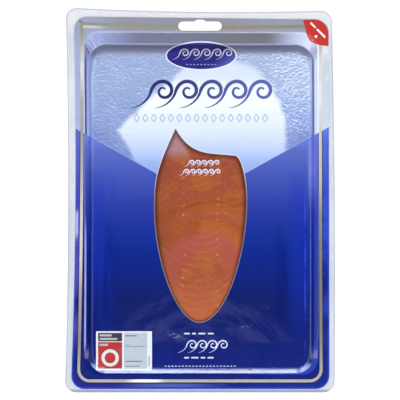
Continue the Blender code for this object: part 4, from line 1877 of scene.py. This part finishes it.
@dataclass
class Print:
    """The printed shapes that lie on the film: emblem, ornaments, corner tab and small marks."""

    plan: PackPlan
    surface: LidSurface
    effects: Effects
    thickness: float = 0.03
    on_film: float = 0.06
    over_rim: float = 0.08
    over_field: float = 0.11
    over_plaque: float = 0.16
    over_gold: float = 0.18
    over_tab: float = 0.23

    def lay(self, name: str, patch: Patch, ink: Union[Ink, FadingInk],
            lift: Optional[float] = None) -> None:
        """Lay a flat patch on the lid as a thin layer of ink.

        Args:
            name: the piece's name.
            patch: its flat shape.
            ink: its finish.
            lift: how high it lies, or None for ink straight on the film.
        """
        lift = self.on_film if lift is None else lift
        piece = self.surface.piece(name, patch, lift, self.thickness)
        settle(piece, ink.build(self.effects), Slot.PRINT)

    @staticmethod
    def line(points: Array, width: float) -> Patch:
        """Give a closed line of even width."""
        return Patch().add_ribbon(points, np.full(len(points), width), closed=True)

    @staticmethod
    def oval(cx: float, cy: float, a: float, b: float, steps: int) -> Array:
        """Give the points of an ellipse."""
        return arc(cx, cy, a, b, np.linspace(0.0, 2.0 * math.pi, steps, endpoint=False))

    @staticmethod
    def bar(cx: float, cy: float, width: float, height: float) -> Array:
        """Give the points of a bar with round ends.

        Args:
            cx: X of its middle.
            cy: Y of its middle.
            width: its width.
            height: its height.

        Returns:
            An array of (x, y) rows.
        """
        r = height / 2.0
        reach = width / 2.0 - r
        half_turn = np.linspace(0.0, math.pi, 9)
        return np.concatenate([arc(cx + reach, cy, r, r, half_turn - math.pi / 2),
                               arc(cx - reach, cy, r, r, half_turn + math.pi / 2)])

    @staticmethod
    def curl(x: float, y: float, size: float) -> Array:
        """Give the line of one wave crest that rises and rolls over to the right.

        Args:
            x: where its foot starts.
            y: height of its foot.
            size: height of the crest.

        Returns:
            (x, y) rows along the line.
        """
        turn = np.linspace(0.0, 1.0, 110)
        heading = np.radians(np.interp(turn, (0.0, 0.14, 0.32, 1.0), (4.0, 76.0, 0.0, -430.0)))
        radius = np.interp(turn, (0.0, 0.12, 0.20, 0.34, 1.0), (9.0, 8.0, 4.6, 3.4, 0.7))
        length = np.abs(np.gradient(heading)) * radius
        steps = np.stack([np.cos(heading) * length, np.sin(heading) * length], axis=1)
        line = np.cumsum(steps, axis=0)
        line -= line[0]
        line /= line[:, 1].max()
        return line * size + (x, y)

    def wave_row(self, left: float, base: float, pitch: float, count: int, size: float,
                 weight: float) -> Patch:
        """Make a row of wave crests.

        Args:
            left: X of the first crest's start.
            base: Y of the row's foot.
            pitch: distance from crest to crest.
            count: how many crests.
            size: height of a crest.
            weight: width of the thickest stroke.

        Returns:
            The patch of all the strokes.
        """
        patch = Patch()
        swell = np.interp(np.linspace(0.0, 1.0, 110), (0.0, 0.16, 0.4, 1.0), (0.12, 0.9, 1.0, 0.4))
        for i in range(count):
            patch.add_ribbon(self.curl(left + pitch * i, base, size), weight * swell)
        return patch

    def build_emblem(self) -> None:
        """Make the dark oval plaque with its pale outline and a plain wave."""
        cx, cy, a, b = 0.9, self.plan.high[1] - 35.6, 26.2, 10.8
        edge = self.line(self.oval(cx, cy, a - 0.4, b - 0.4, 220), 0.85)
        self.lay("emblem_outline", edge, Ink("emblem_white", srgb(226, 230, 240)), self.over_field)
        fill = Patch().add_disc(self.oval(cx, cy, a - 0.6, b - 0.6, 150), np.array([cx, cy]), 33)
        blue = FadingInk("emblem_blue", srgb(26, 24, 120), srgb(78, 94, 180), -74.0, -62.0,
                         (0.62, -0.78))
        self.lay("emblem_field", fill, blue)
        waves = self.wave_row(cx - 21.6, cy - 3.0, pitch=8.0, count=5, size=7.8, weight=1.0)
        self.lay("emblem_waves", waves, Ink("emblem_silver", srgb(196, 190, 204)), self.over_plaque)
        dots = Patch()
        for i in range(9):
            dots.add_shape(self.bar(cx + 2.6 * (i - 4), cy - 6.6, 1.5, 0.7), 2)
        self.lay("emblem_dots", dots, Ink("emblem_dot", srgb(150, 150, 190)), self.over_plaque)

    def build_title(self) -> None:
        """Make the dark row of wave crests and the pale row of lozenges under it."""
        row = self.wave_row(-51.0, 67.8, pitch=18.2, count=5, size=19.6, weight=2.7)
        self.lay("title_waves", row, FadingInk("title_ink", srgb(28, 30, 104), srgb(84, 94, 168),
                                               -30.0, 52.0))
        rings = Patch()
        for i in range(16):
            x, y = -46.6 + 6.3 * i, 60.4
            corners = np.array([(x - 1.9, y), (x, y - 2.9), (x + 1.9, y), (x, y + 2.9)])
            share = np.linspace(0.0, 1.0, 6, endpoint=False)[:, None]
            line = np.concatenate([
                a + (b - a) * share for a, b in zip(corners, np.roll(corners, -1, axis=0))])
            rings.add_ribbon(line, np.full(len(line), 0.75), closed=True)
        self.lay("title_lozenges", rings, Ink("lozenge_ink", srgb(172, 182, 212)))

    def build_marks(self) -> None:
        """Make the small white marks in the window and under it."""
        white = Ink("window_mark", srgb(228, 218, 238))
        for name, left, base, count in (("window_waves_upper", -11.6, 24.6, 5),
                                        ("window_waves_lower", -15.4, 18.0, 6)):
            waves = self.wave_row(left, base, pitch=4.6, count=count, size=4.6, weight=0.82)
            self.lay(name, waves, white, self.over_field)
        words = Patch()
        for y, widths in ((-98.4, (4.2, 3.0, 5.4, 4.4)), (-116.2, (3.6, 5.4, 3.4, 4.6))):
            x = -0.8 - (sum(widths) + 1.6 * (len(widths) - 1)) / 2.0
            for width in widths:
                words.add_shape(self.bar(x + width / 2.0, y, width, 1.15), 2)
                x += width + 1.6
        for i in range(21):
            words.add_shape(self.bar(-25.4 + 2.55 * i, -122.4, 1.5, 0.6), 2)
        foot = Ink("foot_mark", srgb(190, 196, 226))
        self.lay("foot_words", words, foot)
        waves = self.wave_row(-16.4, -112.4, pitch=7.6, count=4, size=8.8, weight=1.0)
        self.lay("foot_waves", waves, foot)

    def build_tab(self) -> None:
        """Make the red corner tab with its small plain arrow."""
        edge = self.plan.print_edge()
        x_right, y_top, r = edge.right[0], edge.top[1], 11.0
        corner = arc(x_right - r, y_top - r, r, r, np.linspace(math.pi / 2, 0.0, 18))
        x_left, y_low = x_right - 18.8, y_top - 19.6
        inner = bezier(((x_right, y_low), (x_right - 12.0, y_low + 1.0),
                        (x_left + 5.0, y_low + 3.0), (x_left + 2.6, y_low + 9.0)), 16)
        rise = bezier(((x_left + 2.6, y_low + 9.0), (x_left + 2.2, y_low + 14.0),
                       (x_left, y_low + 17.0), (x_left, y_top + 0.6)), 10)
        tab = Patch().add_shape(np.concatenate([corner, inner, rise])[::-1], 12)
        self.lay("corner_tab", tab, Ink("tab_red", srgb(188, 44, 34)), self.over_gold)
        arrow = Patch()
        slope = np.array([1.0, -1.0]) / math.sqrt(2.0)
        for start, length in ((0.0, 5.2), (6.6, 8.6)):
            foot = np.array([x_left + 5.6, y_top - 2.4]) + slope * start
            arrow.add_ribbon(np.array([foot, foot + slope * length]), np.array([1.4, 1.4]))
        middle = np.array([x_left + 8.4, y_low + 6.0])
        arrow.add_ribbon(np.array([(-1.6, -1.6), (1.0, 1.0)]) + middle, np.array([0.8, 0.8]))
        arrow.add_shape(np.array([(2.2, 2.2), (-0.4, 1.6), (1.6, -0.4)]) + middle, 2)
        self.lay("tab_arrow", arrow, Ink("tab_white", srgb(246, 238, 240)), self.over_tab)

    def build_window_line(self, outline: Array) -> None:
        """Make the pale line round the window and the painted shadow line inside it.

        Args:
            outline: the window's outline.
        """
        pale = FadingInk("window_line", srgb(122, 110, 114), srgb(222, 226, 240), -6.0, 36.0,
                         (0.0, 1.0))
        self.lay("window_line", self.line(outline, 0.5), pale, self.over_rim)
        # A dark brown line just inside the window: a painted shadow of the print's edge on the salmon.
        around = outline - outline.mean(axis=0)
        inner = outline - around / np.linalg.norm(around, axis=1)[:, None] * 0.55
        self.lay("window_shadow_line", self.line(inner, 0.7), Ink("window_shadow_line", srgb(104, 54, 46)))

    def build(self, window_outline: Array) -> None:
        """Make all the printed shapes.

        Args:
            window_outline: the window's outline.
        """
        self.build_emblem()
        self.build_title()
        self.build_marks()
        self.build_tab()
        self.build_window_line(window_outline)


@dataclass
class Label:
    """The sticker: a white card with a dark header, a red field and a pale panel."""

    surface: LidSurface
    effects: Effects
    clearance: float = 0.04
    card_thickness: float = 0.12
    ink_thickness: float = 0.03

    def build(self) -> None:
        """Make the sticker and the fields printed on it."""
        low, high = box_mm("label_sticker")
        self.left, self.foot = float(low[0]), float(low[1])
        width, height = float(high[0] - low[0]), float(high[1] - low[1])
        self.block("label_card", [(0.0, 0.0, width, height)], 0, srgb(206, 209, 216),
                   ["label_sticker"])
        self.block("label_header", [(1.5, 21.4, 19.2, 27.6)], 1, srgb(32, 30, 38))
        self.block("label_red", [(1.5, 1.3, 19.2, 20.8)], 1, srgb(160, 20, 24))
        self.block("label_panel", [(20.6, 1.3, 37.6, 27.6)], 1, srgb(168, 176, 187))
        self.block("label_header_bars", [(2.6, 25.0, 11.6, 26.5), (2.6, 22.4, 15.8, 23.9),
                                         (2.6, 18.0, 8.8, 19.6)], 2, srgb(162, 163, 174))
        circle = Print.oval(self.left + 10.4, self.foot + 9.2, 5.2, 5.2, 64)
        self.layer("label_ring", Print.line(circle, 2.3), 2, srgb(204, 202, 206))
        rows = [(21.6, 25.0, 30.2, 25.9), (21.6, 18.6, 24.6, 19.0), (20.9, 17.3, 36.2, 17.7),
                (21.6, 6.2, 33.8, 7.0), (21.6, 2.8, 32.4, 3.4), (38.8, 2.6, 39.4, 10.8)]
        self.block("label_lines", rows, 2, srgb(98, 102, 114))

    def block(self, name: str, spans: Sequence[tuple[float, float, float, float]], order: int,
              colour: Colour, nodes: Sequence[str] = ()) -> None:
        """Make rectangular fields of one colour.

        Args:
            name: the piece's name.
            spans: left, foot, right and top of each field, from the sticker's lower left corner.
            order: 0 for the card, 1 for what is printed on it, 2 for what is printed on that.
            colour: its colour.
            nodes: CAD nodes that it stands for.
        """
        patch = Patch()
        for x0, y0, x1, y1 in spans:
            outline = Outline((self.left + x0, self.left + x0), (self.left + x1, self.left + x1),
                              self.foot + y0, (self.foot + y1, self.foot + y1),
                              min(0.5, (y1 - y0) / 3.0, (x1 - x0) / 3.0))
            patch.add_shape(outline.ring(10, 14, 4), 8 if order < 2 else 2)
        self.layer(name, patch, order, colour, nodes)

    def layer(self, name: str, patch: Patch, order: int, colour: Colour,
              nodes: Sequence[str] = ()) -> None:
        """Lay a patch on the lid, or on what already lies there.

        Args:
            name: the piece's name.
            patch: its flat shape.
            order: how many layers lie under it.
            colour: its colour.
            nodes: CAD nodes that it stands for.
        """
        under = 0.0 if order == 0 else self.card_thickness + self.ink_thickness * (order - 1)
        thick = self.card_thickness if order == 0 else self.ink_thickness
        piece = self.surface.piece(name, patch, self.clearance + under, thick)
        settle(piece, Ink(name, colour).build(self.effects), Slot.LABEL, nodes)


# ---- Studio ----

# Colour of the light strips over the pack's foot.
COOL: Colour = (0.84, 0.93, 1.0)


@dataclass(frozen=True)
class SoftBox:
    """A soft box: where it hangs, its size, its power in watts, what it faces and its colour."""

    name: str
    place: tuple[float, float, float]
    size: Point
    power: float
    target: tuple[float, float, float] = (0.0, 0.0, 0.0)
    colour: Colour = (1.0, 1.0, 1.0)

    def hang(self) -> None:
        """Add the light to the scene."""
        data = bpy.data.lights.new(self.name, "AREA")
        data.shape = "RECTANGLE"
        data.size, data.size_y = self.size
        data.energy = self.power
        data.color = self.colour
        light = bpy.data.objects.new(self.name, data)
        light.location = self.place
        towards = Vector(self.target) - Vector(self.place)
        light.rotation_mode = "QUATERNION"
        light.rotation_quaternion = towards.to_track_quat("-Z", "Y")
        light.visible_camera = False
        bpy.context.scene.collection.objects.link(light)


@dataclass
class Studio:
    """Light table, lights and camera."""

    view_width: float = 0.2948
    lens: float = 200.0
    boxes: tuple[SoftBox, ...] = (
        SoftBox("soft_left", (-0.86, 0.0, 1.23), (1.7, 0.5), 7.85),
        SoftBox("soft_right", (0.86, 0.0, 1.23), (1.7, 0.5), 8.9),
        SoftBox("soft_front", (0.0, -0.61, 1.37), (1.3, 0.36), 8.0),
        SoftBox("strip_front", (0.0, -0.502, 0.436), (0.27, 0.056), 0.85, (0.0, -0.126, 0.0), COOL),
        SoftBox("strip_right", (0.27, -0.445, 0.433), (0.15, 0.045), 0.34, (0.08, -0.118, 0.0), COOL),
        SoftBox("strip_left", (-0.27, -0.445, 0.433), (0.16, 0.050), 0.42, (-0.08, -0.118, 0.0), COOL),
        SoftBox("card_left", (-0.60, 0.10, 0.11), (0.14, 0.13), 0.17, (0.08, 0.08, 0.0)),
        SoftBox("card_right", (0.60, -0.13, 0.21), (0.26, 0.22), 0.36, (-0.08, -0.10, 0.0)),
    )

    def build_table(self) -> None:
        """Make a plain pale table that glows a little, as a light table does."""
        bpy.ops.mesh.primitive_plane_add(size=6.0)
        table = bpy.context.object
        table.name = "light_table"
        material, n, shader = new_material("light_table")
        cloud = n.noise(n.place()[0], 3.0, 2.0)
        n.feed(shader.inputs["Base Color"], n.mix(cloud, (0.29, 0.29, 0.29), (0.31, 0.31, 0.31)))
        shader.inputs["Roughness"].default_value = 0.9
        shader.inputs["Emission Color"].default_value = (1.0, 1.0, 1.0, 1.0)
        shader.inputs["Emission Strength"].default_value = 0.86
        table.data.materials.append(material)

    def build_world(self) -> None:
        """Make a dim even surrounding that is darkest straight above."""
        world = bpy.data.worlds.new("studio")
        bpy.context.scene.world = world
        world.use_nodes = True
        n = Nodes(world.node_tree)
        background = world.node_tree.nodes["Background"]
        _, _, z = n.split(n.wire(n.add("ShaderNodeTexCoord"), "Generated"))
        n.feed(background.inputs["Color"],
               n.mix(n.ease(z, 0.6, 0.93), (0.36, 0.37, 0.39), (0.05, 0.05, 0.055)))
        background.inputs["Strength"].default_value = 1.0

    def build_camera(self) -> None:
        """Make the camera, which looks straight down on the pack."""
        data = bpy.data.cameras.new("camera")
        data.lens = self.lens
        data.sensor_width = 36.0
        distance = self.view_width * self.lens / data.sensor_width
        camera = bpy.data.objects.new("camera", data)
        camera.location = (0.0, 0.0, distance + 0.007)
        data.clip_end = 20.0
        bpy.context.scene.collection.objects.link(camera)
        bpy.context.scene.camera = camera

    def build(self) -> None:
        """Make the table, the surroundings, the lights and the camera."""
        self.build_table()
        self.build_world()
        for box in self.boxes:
            box.hang()
        bpy.context.scene.view_settings.view_transform = "Standard"
        self.build_camera()


def main() -> None:
    """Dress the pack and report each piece."""
    logging.basicConfig(level=logging.INFO, format="%(name)s %(message)s")
    Studio().build()
    plan = PackPlan()
    surface = LidSurface(plan)
    effects = Effects()
    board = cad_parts["backing_board"]
    board.data.materials.clear()
    board.data.materials.append(BoardPaper().build(effects))
    Salmon(plan, effects).build()
    films = Films(plan, surface, effects)
    films.build()
    Print(plan, surface, effects).build(films.lid_rings()[-1])
    Label(surface, effects).build()


if __name__ == "__main__":
    main()
